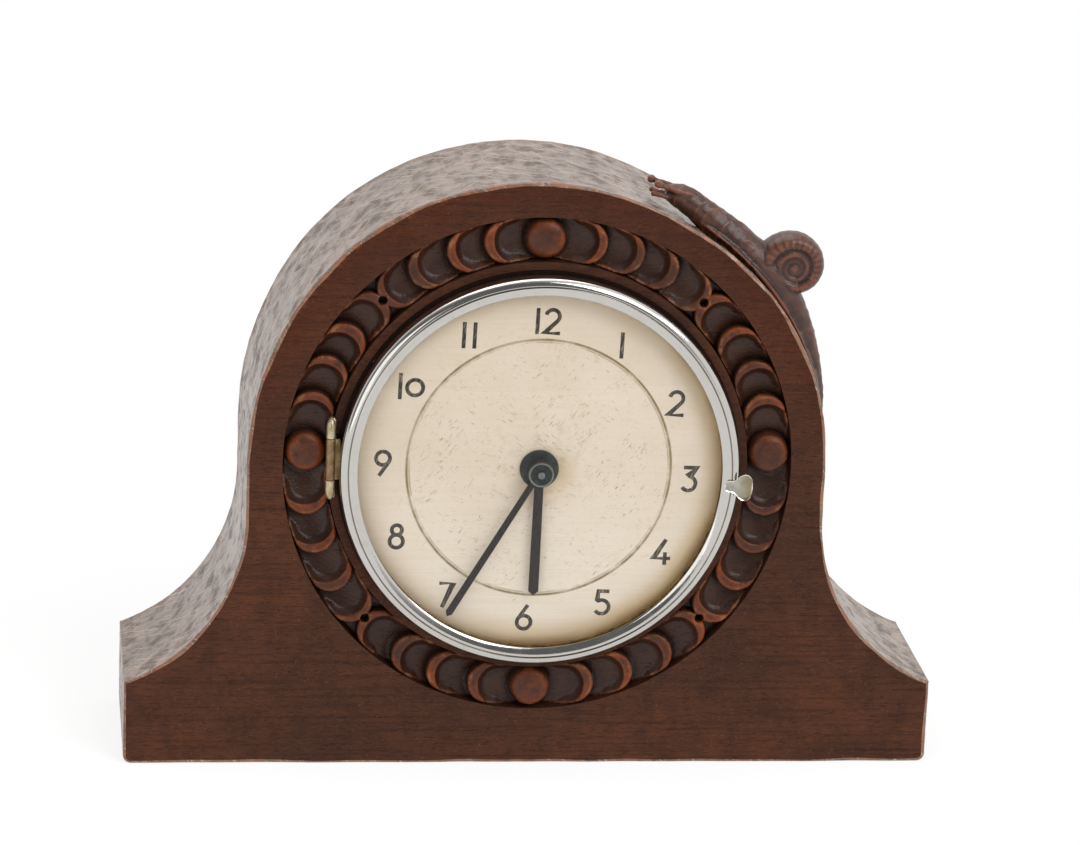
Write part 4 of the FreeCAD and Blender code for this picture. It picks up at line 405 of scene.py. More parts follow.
def dial_paint(paint):
    """Cream paint: yellowed towards the rim, brown by the pressed line, scratched inside it, and
    painted paler towards the bottom as light.
    """
    across, up, reach = paint.on_dial()
    wobble = (paint.grain(14, 3, 0.6) - 0.5) * 5
    stain = paint.grain(26)
    fine = paint.grain(4, 4, 0.7)
    brushed_lines = paint.grain((26, 8, 0.7), 3, 0.6)
    lower_right = (across * 0.7 - up * 0.45).step(-30, 50)
    rim = (reach + wobble).step(55, 65)
    brown = (reach + wobble * 0.5).step(61.5, 65.5) * stain.step(0.3, 0.6)
    line = (reach - sizes().line_circle / MM + wobble * 0.03).math("ABSOLUTE").step(0.66, 0.2)
    twin = (reach - sizes().line_circle / MM + 0.9 + wobble * 0.05).math("ABSOLUTE").step(0.4, 0.15)
    line_break = paint.grain(7, 4, 0.7).step(0.35, 0.62)
    patch = paint.grain(11, 3, 0.6)
    one = paint.grain((0.26, 3, 2.6), 2, 0.6, 0.7).step(0.625, 0.69) * patch.step(0.51, 0.58)
    other = paint.grain((0.24, 3, 3.0), 2, 0.6, -0.9).step(0.64, 0.7) * patch.step(0.47, 0.4)
    third = paint.grain((0.24, 3, 3.4), 2, 0.6, 1.8).step(0.68, 0.73)
    inside = reach.step(58, 34) * 0.85 + 0.15
    strokes = (one + other + third * 0.7).clamped() * inside
    smudge = fine.step(0.48, 0.74) * reach.step(32, 6)
    halo = (reach + wobble).step(16, 7) * (across * 0.6 - up * 0.8).step(-6, 8)
    pits = paint.grain(0.5, 1, 0.5).step(0.72, 0.77)
    base = paint.coats(
        "dial_cream",
        (stain.step(0.3, 0.75), "ecdccb"),
        # painted light: the lower part of the dial paler, as if lit from below
        (up.step(10, -45) * 0.6, "faecdc"),
        (brushed_lines.step(0.42, 0.68) * 0.16, "d8c096"),
        (rim * (0.16 + lower_right * 0.5), "d3ab62"),
        (brown * (0.2 + lower_right * 0.45), "dial_rust"),
        (line * (0.5 + line_break * 0.45), "8a7346"),
        (twin * line_break * 0.55, "8d7a50"),
        (strokes * 0.95, "785f36"),
        (smudge * 0.45, "c3a97c"),
        (halo * 0.45, "c9a56a"),
        (pits * 0.6, "7d5c30"),
    )
    roughness = 0.48 + stain * 0.12
    normal = paint.bump(stain + strokes * 0.3 + brushed_lines * 0.15, 0.0001, 0.4)
    return paint.close(base, roughness, normal)


def number_paint(paint):
    """Dark paint of the numbers, rubbed thin in streaks."""
    streak = paint.grain((0.5, 4, 3.5), 4, 0.7, 0.2).step(0.48, 0.66)
    thin = paint.grain(9, 3, 0.6).step(0.4, 0.62)
    base = paint.blend(streak * (0.3 + thin * 0.6), "number_paint", "b3a283")
    return paint.close(base, 0.55 + streak * 0.1)


def hand_metal(metal):
    """Blackened steel of the hands with brown rust."""
    cloud = metal.grain((5, 5, 9))
    base = metal.blend(cloud.step(0.4, 0.7), "hand_brown", "2b1a14")
    return metal.close(base, 0.42 + cloud * 0.2, Metallic=0.2)


def clear_glass(glass):
    """Clear glass that only mirrors what is seen at a slant, with faint smears."""
    smear = glass.grain((30, 30, 12), 3, 0.6)
    through = glass.node("ShaderNodeBsdfTransparent", {"Color": (0.985, 0.99, 0.985, 1.0)})
    mirror = glass.node("ShaderNodeBsdfGlossy", {"Color": (1, 1, 1, 1), "Roughness": 0.03})
    edge = glass.read("ShaderNodeFresnel", {"IOR": 1.45})
    return glass.show_mix(edge * (0.26 + smear * 0.22), through, mirror)


def brushed(name, colour_name, dark, rough):
    """A maker of a metal, under its own name, brushed in short strokes."""

    def maker(metal):
        stroke = metal.grain((0.6, 6, 6), 3, 0.6)
        cloud = metal.grain(8, 3, 0.6)
        base = metal.blend((stroke * 0.5 + cloud * 0.5).step(0.35, 0.7), colour_name, dark)
        normal = metal.bump(stroke, 0.00005, 0.4)
        return metal.close(base, rough + cloud * 0.15, normal, Metallic=1.0)

    maker.__name__ = name
    return maker


def oak_figure(oak):
    """Oak of the snail: red brown, polished by handling, with painted shade in the cuts."""
    cloud = oak.grain(7, 3, 0.6)
    streak = oak.grain((2, 2, 12), 4, 0.6, -0.9)
    wear = oak.attribute("wear")
    dirt = oak.attribute("dirt")
    base = oak.coats(
        "3f231a",
        (cloud.step(0.35, 0.7), "543020"),
        (streak.step(0.45, 0.7) * 0.5, "2e1711"),
        ((wear * (0.4 + cloud)).step(0.3, 1.0) * 0.5, "8a4b2c"),
        # painted shade: darker in the cuts and hollows of the snail
        (dirt * 0.8, "190d09"),
    )
    normal = oak.bump(streak * 0.6 + cloud * 0.5, 0.0002, 0.5)
    return oak.close(base, 0.27 + cloud * 0.16, normal, Specular_IOR_Level=0.5)


def tab_chrome(metal):
    """Chrome of the thumb tab: a grey green bloom in its cup, browner outwards, a bright rim."""
    haze = metal.grain(4, 3, 0.5)
    rim = metal.attribute("rim").step(0.35, 0.8)
    outwards = (metal.axis("X") + haze * 3).step(69.5, 75.5)
    cup = metal.blend(outwards, "b3b3a8", "9c8c70")
    base = metal.blend(rim, metal.blend(haze.step(0.4, 0.65) * 0.5, cup, "7d7c6c"), "f5ede4")
    normal = metal.bump(haze, 0.00004, 0.4)
    return metal.close(base, 0.3 - rim * 0.18, normal, Metallic=0.95)


def boss_patina(metal):
    """Green black patina of the boss, mottled."""
    cloud = metal.grain(1.6, 4, 0.7)
    base = metal.blend(cloud.step(0.42, 0.62), "boss_green", "28312a")
    normal = metal.bump(cloud, 0.0001, 0.6)
    return metal.close(base, 0.3 + cloud * 0.2, normal, Metallic=0.3)


def button_metal(metal):
    """Dark button over the hands with a rim rubbed bright."""
    reach = metal.on_dial()[2]
    cloud = metal.grain(1.2, 4, 0.7)
    rim = reach.step(3.7, 4.0) * reach.step(4.55, 4.3)
    base = metal.coats(
        "141917",
        (cloud.step(0.4, 0.65), "2f3834"),
        (rim * (0.25 + cloud * 0.6), "9aa29a"),
    )
    normal = metal.bump(cloud, 0.00008, 0.5)
    return metal.close(base, 0.3 + cloud * 0.15, normal, Metallic=0.6)


# Building meshes
def at(x, y, station):
    """A point from the dial's own axes in metres: right, up and towards the viewer."""
    return (x, -station, DIAL_UP + y)


def spot(middle, reach, turn):
    """A place at a distance and a turn in radians from a middle."""
    return (middle[0] + reach * cos(turn), middle[1] + reach * sin(turn))


def arc(middle, reach, start, stop, steps=26):
    """Places along an arc between two turns in degrees."""
    turns = [radians(start + (stop - start) * step / steps) for step in range(steps + 1)]
    return [spot(middle, reach, turn) for turn in turns]


PIECES = {
    # Slot of the finish, body, nodes that the piece replaces, angle of a sharp edge in degrees
    "oak_case": ("oak", "case", ["case_body"], 50),
    "coin_ring": ("oak_carving", "case", ["carved_ring"], 42),
    "shoulder_snail": ("oak_carving", "case", ["shoulder_carving"], 60),
    "painted_dial": ("dial_paint", "case", ["dial_plate"], 50),
    "dial_numbers": ("dial_paint", "case", [], 60),
    "bezel_rim": ("chrome", "bezel", ["bezel_frame"], 35),
    "bezel_crystal": ("glass", "bezel", ["bezel_glass"], 60),
    "bezel_tab": ("chrome", "bezel", ["thumb_tab"], 50),
    "hinge_fixed_barrel": ("hinge_brass", "case", ["hinge_fixed_leaf", "hinge_pin"], 50),
    "hinge_bezel_barrel": ("hinge_brass", "bezel", ["hinge_bezel_leaf"], 50),
    "hour_pointer": ("hand_steel", "hour_work", ["hour_hand"], 25),
    "minute_pointer": ("hand_steel", "centre", ["minute_hand"], 25),
    "hand_boss": ("boss_steel", "hour_work", ["hand_collet"], 35),
    "hand_button": ("boss_steel", "centre", ["hand_nut"], 35),
}


def add_object(name, data):
    obj = bpy.data.objects.new(name, data)
    bpy.context.scene.collection.objects.link(obj)
    return obj


def make_piece(name, points, faces, *makers, face_materials=None, merge=True):
    """One piece of the clock, with its finishes, as an object that rides on a body."""
    slot, body, replaced, sharp = PIECES[name]
    mesh = bpy.data.meshes.new(name)
    mesh.from_pydata([tuple(point) for point in points], [], faces)
    for maker in makers:
        mesh.materials.append(finish_once(maker))
    if face_materials:
        mesh.polygons.foreach_set("material_index", face_materials)
    working = bmesh.new()
    working.from_mesh(mesh)
    if merge:
        bmesh.ops.remove_doubles(working, verts=working.verts, dist=1e-7)
    bmesh.ops.recalc_face_normals(working, faces=working.faces)
    working.to_mesh(mesh)
    working.free()
    mesh.shade_smooth()
    mesh.set_sharp_from_angle(angle=radians(sharp))
    obj = add_object(name, mesh)
    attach(obj, body)
    if replaced:
        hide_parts(*replaced)
    return obj


def weigh_normals(obj):
    modifier = obj.modifiers.new("even_shading", "WEIGHTED_NORMAL")
    modifier.keep_sharp = True


def grid_faces(rows, columns, closed=True, first=0):
    """Faces between rows of points, each row closed on itself if asked."""
    faces = []
    last = columns if closed else columns - 1
    for row in range(rows - 1):
        for column in range(last):
            beside = (column + 1) % columns
            start, above = first + row * columns, first + (row + 1) * columns
            faces.append((start + column, start + beside, above + beside, above + column))
    return faces


def lathe(section, segments, closed=True):
    """Points and faces of a ring or a disc turned from (radius, station) pairs."""
    points, rows = [], []
    for radius, station in section:
        count = segments if radius > 0 else 1
        rows.append([len(points) + segment for segment in range(count)])
        turns = [2 * pi * segment / segments for segment in range(count)]
        points += [at(*spot((0.0, 0.0), radius, turn), station) for turn in turns]
    faces = []
    for low, high in zip(rows, rows[1:] + rows[:1] if closed else rows[1:]):
        for segment in range(segments):
            beside = (segment + 1) % segments
            corners = [low[segment % len(low)], low[beside % len(low)]]
            corners += [high[beside % len(high)], high[segment % len(high)]]
            face = list(dict.fromkeys(corners))
            if len(face) > 2:
                faces.append(face)
    return points, faces


def add_form(points, faces, form):
    """Add the points and the faces of one more form."""
    first = len(points)
    points += form[0]
    faces += [tuple(first + corner for corner in face) for face in form[1]]


def set_field(obj, name, values):
    layer = obj.data.attributes.new(name, "FLOAT", "POINT")
    layer.data.foreach_set("value", values)


def scattered(first, second, third=0.0):
    """Repeatable numbers from nought to one for arrays of whole numbers."""
    mixed = np.sin(first * 127.1 + second * 311.7 + third * 74.7) * 43758.5453
    return mixed - np.floor(mixed)


def scoops(along, across, pitch):
    """Depth share of the nearest adze cut, and closeness to the ridge between two cuts."""
    column, row = np.floor(along / pitch), np.floor(across / pitch)
    nearest = np.full(along.shape, 9.0)
    second = np.full(along.shape, 9.0)
    for step_along in (-1, 0, 1):
        for step_across in (-1, 0, 1):
            cell_along, cell_across = column + step_along, row + step_across
            off_along = along / pitch - cell_along
            off_across = across / pitch - cell_across
            off_along = off_along - 0.1 - 0.8 * scattered(cell_along, cell_across, 1)
            off_across = off_across - 0.1 - 0.8 * scattered(cell_along, cell_across, 2)
            gap = np.sqrt(off_along**2 + 0.8 * off_across**2)
            second = np.minimum(second, np.maximum(nearest, gap))
            nearest = np.minimum(nearest, gap)
    depth = np.clip(1 - nearest**2 / 0.6, 0, 1)
    ridge = np.clip(1 - (second - nearest) / 0.14, 0, 1)
    return depth, ridge


def cloud_at(x, y, z, size):
    return noise.noise(Vector((x / size, y / size, z / size)))


def mark_wear(obj, rounds, reach):
    """Fields of rubbed crests and of painted shade in the hollows, from how far each point stands
    proud.
    """
    mesh = obj.data
    count = len(mesh.vertices)
    places = np.empty(count * 3)
    mesh.vertices.foreach_get("co", places)
    places = places.reshape(-1, 3)
    normals = np.empty(count * 3)
    mesh.vertex_normals.foreach_get("vector", normals)
    edges = np.empty(len(mesh.edges) * 2, dtype=np.int64)
    mesh.edges.foreach_get("vertices", edges)
    start, end = edges.reshape(-1, 2).T
    neighbours = np.bincount(start, minlength=count) + np.bincount(end, minlength=count)
    smooth = places.copy()
    for _ in range(rounds):
        total = np.empty_like(smooth)
        for axis in range(3):
            values = smooth[:, axis]
            total[:, axis] = np.bincount(start, values[end], count)
            total[:, axis] += np.bincount(end, values[start], count)
        smooth = total / np.maximum(neighbours, 1)[:, None]
    proud = ((places - smooth) * normals.reshape(-1, 3)).sum(axis=1) / reach
    set_field(obj, "wear", np.clip(proud, 0, 1).astype(np.float32))
    # painted shade: the deeper a point lies below its neighbours, the darker it is painted
    set_field(obj, "dirt", np.clip(-proud, 0, 1).astype(np.float32))


# Oak case
def flank_middle():
    """Middle of the circle that hollows the right flank, and its height over the base."""
    s = sizes()
    across = ARCH_RADIUS + s.flank_radius
    return across, s.foot_height + sqrt(s.flank_radius**2 - (across - HALF_WIDTH) ** 2)


def case_outline(pitch):
    """Columns round the case from the middle of the base: place, outward direction, share of
    the adze work and share of the coarse cuts, for the right half and then the left."""
    s = sizes()
    middle = flank_middle()
    foot_turn = atan2(s.foot_height - middle[1], HALF_WIDTH - middle[0]) + 2 * pi
    corner = s.corner_radius
    base_steps, corner_steps = 41, 6
    places = [HALF_WIDTH * step / base_steps for step in range(base_steps)]
    half = [(place, 0.0, 0.0, -1.0, 0.0, 0.0) for place in places if place < HALF_WIDTH - corner]
    for step in range(corner_steps + 1):
        outward = spot((0.0, 0.0), 1.0, pi / 2 * (step / corner_steps - 1))
        place = (HALF_WIDTH - corner + corner * outward[0], corner + corner * outward[1])
        half.append((*place, *outward, 0.0, 0.0))
    steps = round((s.foot_height - corner) / pitch)
    for step in range(1, steps):
        height = corner + (s.foot_height - corner) * step / steps
        half.append((HALF_WIDTH, height, 1.0, 0.0, 0.8, 0.0))
    steps = round(s.flank_radius * (foot_turn - pi) / pitch)
    for step in range(steps):
        turn = foot_turn + (pi - foot_turn) * step / steps
        outward = (-cos(turn), -sin(turn)) if step else (0.8, 0.6)
        place = spot(middle, s.flank_radius, turn)
        half.append((*place, *outward, 1.0 if step else 0.3, step / steps * 0.6))
    steps = round((DIAL_UP - middle[1]) / pitch)
    for share in (step / steps for step in range(steps)):
        height = middle[1] + (DIAL_UP - middle[1]) * share
        half.append((ARCH_RADIUS, height, 1.0, 0.0, 1.0, 0.6 + 0.4 * share))
    steps = round(ARCH_RADIUS * pi / 2 / pitch)
    for step in range(steps):
        turn = pi / 2 * step / steps
        outward = spot((0.0, 0.0), 1.0, turn)
        half.append((*spot((0.0, DIAL_UP), ARCH_RADIUS, turn), *outward, 1.0, 1.0))
    apex = [(0.0, DIAL_UP + ARCH_RADIUS, 0.0, 1.0, 1.0, 1.0)]
    left = [(-column[0], column[1], -column[2], *column[3:]) for column in half[:0:-1]]
    return np.array(half + apex + left)


def hand_sawn(x, z):
    """How far the arch strays from a true circle, outwards on the left and inwards on the right."""
    turn = degrees(atan2(z - DIAL_UP, x))
    left = 1.3 * exp(-(((turn - 128) / 24) ** 2))
    right = -1.9 * exp(-(((turn - 62) / 20) ** 2))
    return (left + right) * MM


def half_breadth(up):
    """Half of the case's width at a height over the base."""
    across, height = flank_middle()
    if up <= sizes().foot_height:
        return HALF_WIDTH
    if up <= height:
        return across - sqrt(sizes().flank_radius ** 2 - (up - height) ** 2)
    if up <= DIAL_UP:
        return ARCH_RADIUS
    return sqrt(max(ARCH_RADIUS**2 - (up - DIAL_UP) ** 2, 0.0))


def filled(ring, hole_radius, pitch):
    """Triangles between a ring of (x, z) places and a round hole round the dial's middle."""
    places = [Vector(place) for place in ring]
    hole_start = len(places)
    for step in range(ROUND):
        places.append(Vector(spot((0.0, DIAL_UP), hole_radius, 2 * pi * step / ROUND)))
    inset, row_share = 2.6 * MM, 0.87
    for row in range(1, int((DIAL_UP + ARCH_RADIUS) / (pitch * row_share)) + 1):
        up = row * pitch * row_share
        if up < inset or up > DIAL_UP + ARCH_RADIUS - inset:
            continue
        shift = pitch / 2 if row % 2 else 0.0
        reach = half_breadth(up) - 1.6 * inset
        for column in range(-int(reach / pitch) - 1, int(reach / pitch) + 2):
            x = column * pitch + shift
            far = hypot(x, up - DIAL_UP)
            inside = abs(x) < reach and (up < DIAL_UP or far < ARCH_RADIUS - 2 * inset)
            if inside and far > hole_radius + pitch * 0.6:
                places.append(Vector((x, up)))
    edges = [(hole_start + step, hole_start + (step + 1) % ROUND) for step in range(ROUND)]
    outline = [list(range(hole_start))]
    points, _, faces, *_ = delaunay_2d_cdt(places, edges, outline, 1, 1e-7)
    kept = []
    for face in faces:
        middle = sum((points[corner] for corner in face), Vector((0, 0))) / len(face)
        if hypot(middle.x, middle.y - DIAL_UP) > hole_radius * 0.9995:
            kept.append(face)
    return points, kept


def add_flat(points, faces, fields, ring, side, hole_radius):
    """The front (side -1) or the back (side 1) of the case inside the ring of its folded edge."""
    grid_pitch, worn_width, level_width, rim_width = 2.6 * MM, 2.6 * MM, 2.0 * MM, 0.2 * MM
    ripple_height, ripple_size, warm_width, warm_height = 0.16 * MM, 0.022, 19 * MM, 45 * MM
    flat_points, flat_faces = filled(ring, hole_radius, grid_pitch)
    places = []
    for point in flat_points:
        far = hypot(point.x, point.y - DIAL_UP)
        beside = min(half_breadth(point.y) - abs(point.x), point.y)
        if point.y > DIAL_UP:
            beside = min(beside, ARCH_RADIUS - far)
        on_rim = abs(far - hole_radius) < rim_width
        wear = max(0.0, 1 - beside / worn_width) * 0.65
        ripple = warm = 0.0
        if side < 0:
            if beside >= level_width and not on_rim:
                cloud = cloud_at(point.x, side * 3.0, point.y, ripple_size)
                ripple = max(ripple_height * (0.5 + cloud), 0.0)
            wear = min(wear + (0.4 if on_rim else 0.0), 1.0)
            height = min(max((point.y - DIAL_UP) / warm_height, 0.0), 1.0)
            warm = max(0.0, 1 - beside / warm_width) * height
        places.append((point.x, side * (FACE - ripple), point.y))
        fields.append((wear, 0.0, 0.0, warm))
    add_form(points, faces, (places, flat_faces))


def build_case():
    s = sizes()
    pitch = 0.95 * MM
    columns = case_outline(pitch)
    count = len(columns)
    x, z, out_x, out_z, adze, coarse = columns.T
    gaps = np.hypot(np.diff(x, append=x[0]), np.diff(z, append=z[0]))
    along = np.concatenate(([0.0], np.cumsum(gaps)[:-1]))
    strays = np.array([hand_sawn(*place) if place[1] > DIAL_UP else 0.0 for place in zip(x, z)])
    worn_size, waver, waver_length = 0.018, 0.35 * MM, 11 * MM
    clouds = np.array([cloud_at(place, 3.0, 0.0, worn_size) for place in along])
    fold = s.edge_wear * (1 + 0.7 * clouds)
    across_rows = round(2 * (FACE - s.edge_wear) / pitch)
    # Rows from the front to the back: shares of the fold inwards and backwards, and the side
    bend = [(1 - across, 1 - up) for across, up in arc((0.0, 0.0), 1.0, 0, 90, 5)]
    rows = [(*place, -1.0) for place in reversed(bend)]
    rows += [(0.0, 1.0, -1.0 + 2 * step / across_rows) for step in range(1, across_rows)]
    rows += [(*place, 1.0) for place in bend]
    band, fields = [], []
    for inward, back, side in rows:
        y = side * (FACE - fold * back)
        edge = min((1 - abs(side)) * 12, 1.0)
        big, big_ridge = scoops(along, y + waver * np.sin(along / waver_length), s.adze_pitch)
        small, small_ridge = scoops(along + y * 0.4, y - along * 0.3, s.adze_pitch * 0.5)
        depth = (big * coarse + small * 0.45 * (1 - coarse)) * s.adze_depth * adze
        depth = depth * (0.35 + 0.65 * edge)
        ridge = (big_ridge * coarse + small_ridge * 0.8 * (1 - coarse)) * adze * edge
        outward = strays - depth - fold * inward
        band.append(np.stack((x + out_x * outward, y, z + out_z * outward), axis=1))
        wear = max(0.0, 1 - (1 - abs(side)) * 18)
        fields += [(wear, share, 0.0, 0.0) for share in ridge]
    points = [tuple(point) for point in np.concatenate(band)]
    faces = grid_faces(len(rows), count)
    adzed = len(faces)
    add_flat(points, faces, fields, band[0][:, ::2], -1, s.channel_outer)
    add_flat(points, faces, fields, band[-1][:, ::2], 1, s.bore_radius)
    floor = FACE - s.channel_depth
    walls = (
        # Radius and station of two circles, then how rubbed the wall is and how much shade is
        # painted on it
        ((s.channel_outer, FACE), (s.channel_outer, floor), 0.3, 0.5),
        ((s.channel_inner, floor), (s.channel_inner, FACE), 0.3, 0.5),
        ((s.bore_radius, FACE), (s.bore_radius, -FACE), 0.3, 0.5),
        ((s.channel_outer, floor), (s.channel_inner, floor), 0.0, 0.7),
        ((s.channel_inner, FACE), (s.bore_radius, FACE), 0.0, 0.12),
    )
    for first, second, rubbed, recess_shade in walls:
        add_form(points, faces, lathe([first, second], ROUND, closed=False))
        # painted shade on the recessed walls, from the last column of the table above
        fields += [(rubbed, 0.0, recess_shade, 0.0)] * (2 * ROUND)
    materials = [1] * adzed + [0] * (len(faces) - adzed)
    case = make_piece(
        "oak_case", points, faces, oak_front, oak_adzed, face_materials=materials, merge=False
    )
    for name, values in zip(("wear", "ridge", "dirt", "warm"), zip(*fields)):
        set_field(case, name, values)
    weigh_normals(case)


# Ring of carved coins
COINS_PER_SIDE = 4
BALL_LIFT = 3.4
BALL_TURNS = (BALL_LIFT, 90.0, 180.0 - BALL_LIFT, 270.0, 360.0 + BALL_LIFT)
COIN_SLOPE = 0.22
RING_FIT = 0.1 * MM


def ring_heights(radius, turn):
    """Stations of the ring's carved surface over a grid of radii and turns in degrees."""
    s = sizes()
    middle = (s.channel_inner + s.channel_outer) / 2
    floor, top, lip_drop = FACE - 5.2 * MM, FACE - 0.4 * MM, 0.22 * MM
    across, up = radius * np.cos(np.radians(turn)), radius * np.sin(np.radians(turn))

    def offsets(place):
        """How far the points are right of and above the ring's middle line at a turn in radians."""
        return across - middle * cos(place), up - middle * sin(place)

    wobble = np.sin(turn * 0.61) * 0.25 + np.sin(turn * 1.37 + radius * 900) * 0.15
    heights = np.full(across.shape, floor)
    for first, second in zip(BALL_TURNS, BALL_TURNS[1:]):
        pitch = (second - first) / (2 * COINS_PER_SIDE + 1)
        for number in range(1, 2 * COINS_PER_SIDE + 1):
            away = 1 if number <= COINS_PER_SIDE else -1
            sway = scattered(first, number, 5.0) - 0.5
            place = radians(first + (number + 0.08 * sway) * pitch)
            off_x, off_y = offsets(place)
            forward = away * (-off_x * sin(place) + off_y * cos(place))
            outward = off_x * cos(place) + off_y * sin(place)
            forward = forward + (0.15 * wobble - 0.3 * sway) * MM
            reach = np.hypot(np.maximum(forward, 0), outward)
            rim_width = s.coin_rim * (1 + 0.3 * sway)
            widened = 1.8 * MM * np.clip(-(forward + rim_width) / (3.5 * MM), 0, 1)
            inner = np.hypot(np.maximum(forward + rim_width, 0), outward) - s.coin_radius - widened
            edge = np.clip((s.coin_radius - reach) / (1.4 * MM), 0, 1)
            lip = np.clip(inner / (0.9 * MM), 0, 1)
            crest = top - 0.9 * MM * (1 - edge) ** 3 - lip_drop * (1 - lip) ** 2
            run = np.maximum(s.coin_radius - rim_width - forward, 0)
            bowl = 0.7 * MM + 1.5 * MM * (1 - (outward / s.coin_radius) ** 2)
            bank = np.clip(-inner / (2.6 * MM), 0, 1)
            slope = COIN_SLOPE * run * (0.4 + 0.6 * bank)
            hollow = top - lip_drop - slope - bowl * (1 - (1 - bank) ** 2)
            shape = np.where(inner > 0, crest, hollow)
            within = (reach < s.coin_radius) & (forward > -1.05 * middle * radians(pitch))
            heights = np.where(within, np.maximum(heights, shape), heights)
    for ball_turn in BALL_TURNS[:4]:
        reach = np.hypot(*offsets(radians(ball_turn)))
        share = np.clip(reach / s.ball_radius, 0, 1)
        dome = FACE + (0.8 - 1.0 * share**2 - 3.4 * share**8) * MM
        moat = floor + np.clip((reach - s.ball_radius) / (0.8 * MM), 0, 1) * 6 * MM
        dome, heights = np.maximum(dome, floor), np.minimum(heights, moat)
        heights = np.where(reach < s.ball_radius, dome, heights)
    for first, second in zip(BALL_TURNS, BALL_TURNS[1:]):
        reach = np.hypot(*offsets(radians((first + second) / 2)))
        heights = np.where(reach < s.eye_radius, floor - 0.6 * MM, heights)
    return heights


def build_ring():
    s = sizes()
    columns = 2000
    inner, outer = s.channel_inner + RING_FIT, s.channel_outer - RING_FIT
    radii = np.linspace(inner, outer, 52)
    turns = np.arange(columns) * 360 / columns
    radius, turn = np.meshgrid(radii, turns, indexing="ij")
    heights = ring_heights(radius, turn)
    edge_width, edge_drop, flutter_height = 1.0 * MM, 0.7 * MM, 0.03 * MM
    border = np.minimum(radius - inner, outer - radius) / edge_width
    heights = heights - edge_drop * np.clip(1 - border, 0, 1) ** 2
    flutter = np.sin(turn * 5.3 + radius * 2100) * np.sin(turn * 2.1 - radius * 1300)
    heights = heights + flutter_height * flutter
    floor = np.full((1, columns), FACE - s.channel_depth)
    radius = np.concatenate((radius[:1], radius, radius[-1:]))
    turn = np.concatenate((turn[:1], turn, turn[-1:]))
    heights = np.concatenate((floor, heights, floor))
    across = radius * np.cos(np.radians(turn))
    up = radius * np.sin(np.radians(turn))
    points = np.stack((across.ravel(), -heights.ravel(), DIAL_UP + up.ravel()), axis=1)
    faces = grid_faces(len(radii) + 2, columns)
    ring = make_piece("coin_ring", points, faces, oak_carved, merge=False)
    mark_wear(ring, rounds=14, reach=0.34 * MM)
    crest = np.clip((heights.ravel() - FACE + 1.3 * MM) / (0.7 * MM), 0, 1)
    set_field(ring, "crest", crest.astype(np.float32))


# Snail on the shoulder
SNAIL_STATION = FACE - 12.0 * MM
SHELL_TURN, SHELL_RISE, SHELL_RADIUS = 38.5, 11.0 * MM, 14.2 * MM
FOOT = (
    # Turn on the arch, rise over it, half width and height, in degrees and millimetres
    (8.0, -0.6, 1.0, 1.6), (12.0, -0.3, 2.0, 2.6), (18.0, 0.0, 3.4, 4.0), (25.0, 0.2, 5.2, 5.8),
    (33.0, 0.6, 6.8, 7.4), (42.0, 1.0, 7.4, 8.0), (49.0, 1.4, 6.6, 7.4), (54.5, 2.3, 5.4, 6.1),
    (58.5, 3.2, 4.8, 5.3), (61.5, 4.0, 4.6, 5.0), (64.0, 4.2, 4.1, 4.3), (65.8, 4.0, 2.9, 3.1),
    (66.6, 3.8, 1.3, 1.4),
)
SOLE = (
    (7.0, 0.1, 1.4, 0.8), (13.0, 0.2, 3.8, 1.3), (24.0, 0.3, 7.4, 1.7), (36.0, 0.3, 9.0, 1.9),
    (47.0, 0.3, 8.4, 1.9), (54.0, 0.3, 6.8, 1.7), (58.5, 0.3, 4.0, 1.3),
)
HORNS = (
    # Root and tip as turn, rise and side, then radii of root, tip and bulb
    ((61.8, 6.2, 2.2), (69.3, 4.9, 4.4), 1.9, 1.15, 1.75),
    ((61.8, 6.2, -2.2), (68.6, 5.5, -4.4), 1.9, 1.15, 1.75),
    ((65.0, 2.4, 1.7), (68.6, 1.6, 3.2), 1.3, 1.0, 1.25),
    ((65.0, 2.4, -1.7), (68.6, 1.6, -3.2), 1.3, 1.0, 1.25),
)


def outwards(turn):
    """Direction away from the dial's middle at a turn in degrees."""
    angle = radians(turn)
    return Vector((cos(angle), 0, sin(angle)))


def on_arch(turn, rise, side=0.0):
    """A point over the shoulder: turn in degrees, rise and side in millimetres."""
    angle, radius = radians(turn), ARCH_RADIUS + rise * MM
    return Vector((radius * cos(angle), -SNAIL_STATION + side * MM, DIAL_UP + radius * sin(angle)))


def add_tube(points, faces, stations, sides=28):
    """A closed tube through (middle, first half axis, second half axis) stations."""
    start = len(points)
    for middle, first_axis, second_axis in stations:
        for step in range(sides):
            turn = 2 * pi * step / sides
            points.append(middle + first_axis * cos(turn) + second_axis * sin(turn))
    faces += grid_faces(len(stations), sides, True, start)
    faces.append(tuple(range(start + sides - 1, start - 1, -1)))
    last = start + (len(stations) - 1) * sides
    faces.append(tuple(range(last, last + sides)))


def add_ball(points, faces, centre, radius, flat=1.0):
    """A ball as a closed tube, flattened from front to back by a share."""
    stations = []
    for step in range(13):
        turn = pi * (step / 12 - 0.5)
        reach = max(radius * cos(turn), 0.01 * MM)
        middle = centre + Vector((0, radius * flat * sin(turn), 0))
        stations.append((middle, Vector((reach, 0, 0)), Vector((0, 0, reach))))
    add_tube(points, faces, stations, sides=24)


def between(table, steps):
    """Rows of a table with smooth rows added between them."""
    rows = np.array(table)
    final = len(rows) - 1
    found = []
    for place in np.linspace(0, final, steps):
        low = min(int(place), final - 1)
        share = place - low
        around = [min(max(low + step, 0), final) for step in (-1, 0, 1, 2)]
        before, first, second, after = rows[around]
        curve = 2 * first + (second - before) * share
        curve = curve + (2 * before - 5 * first + 4 * second - after) * share**2
        found.append(0.5 * (curve + (3 * first - before - 3 * second + after) * share**3))
    return found


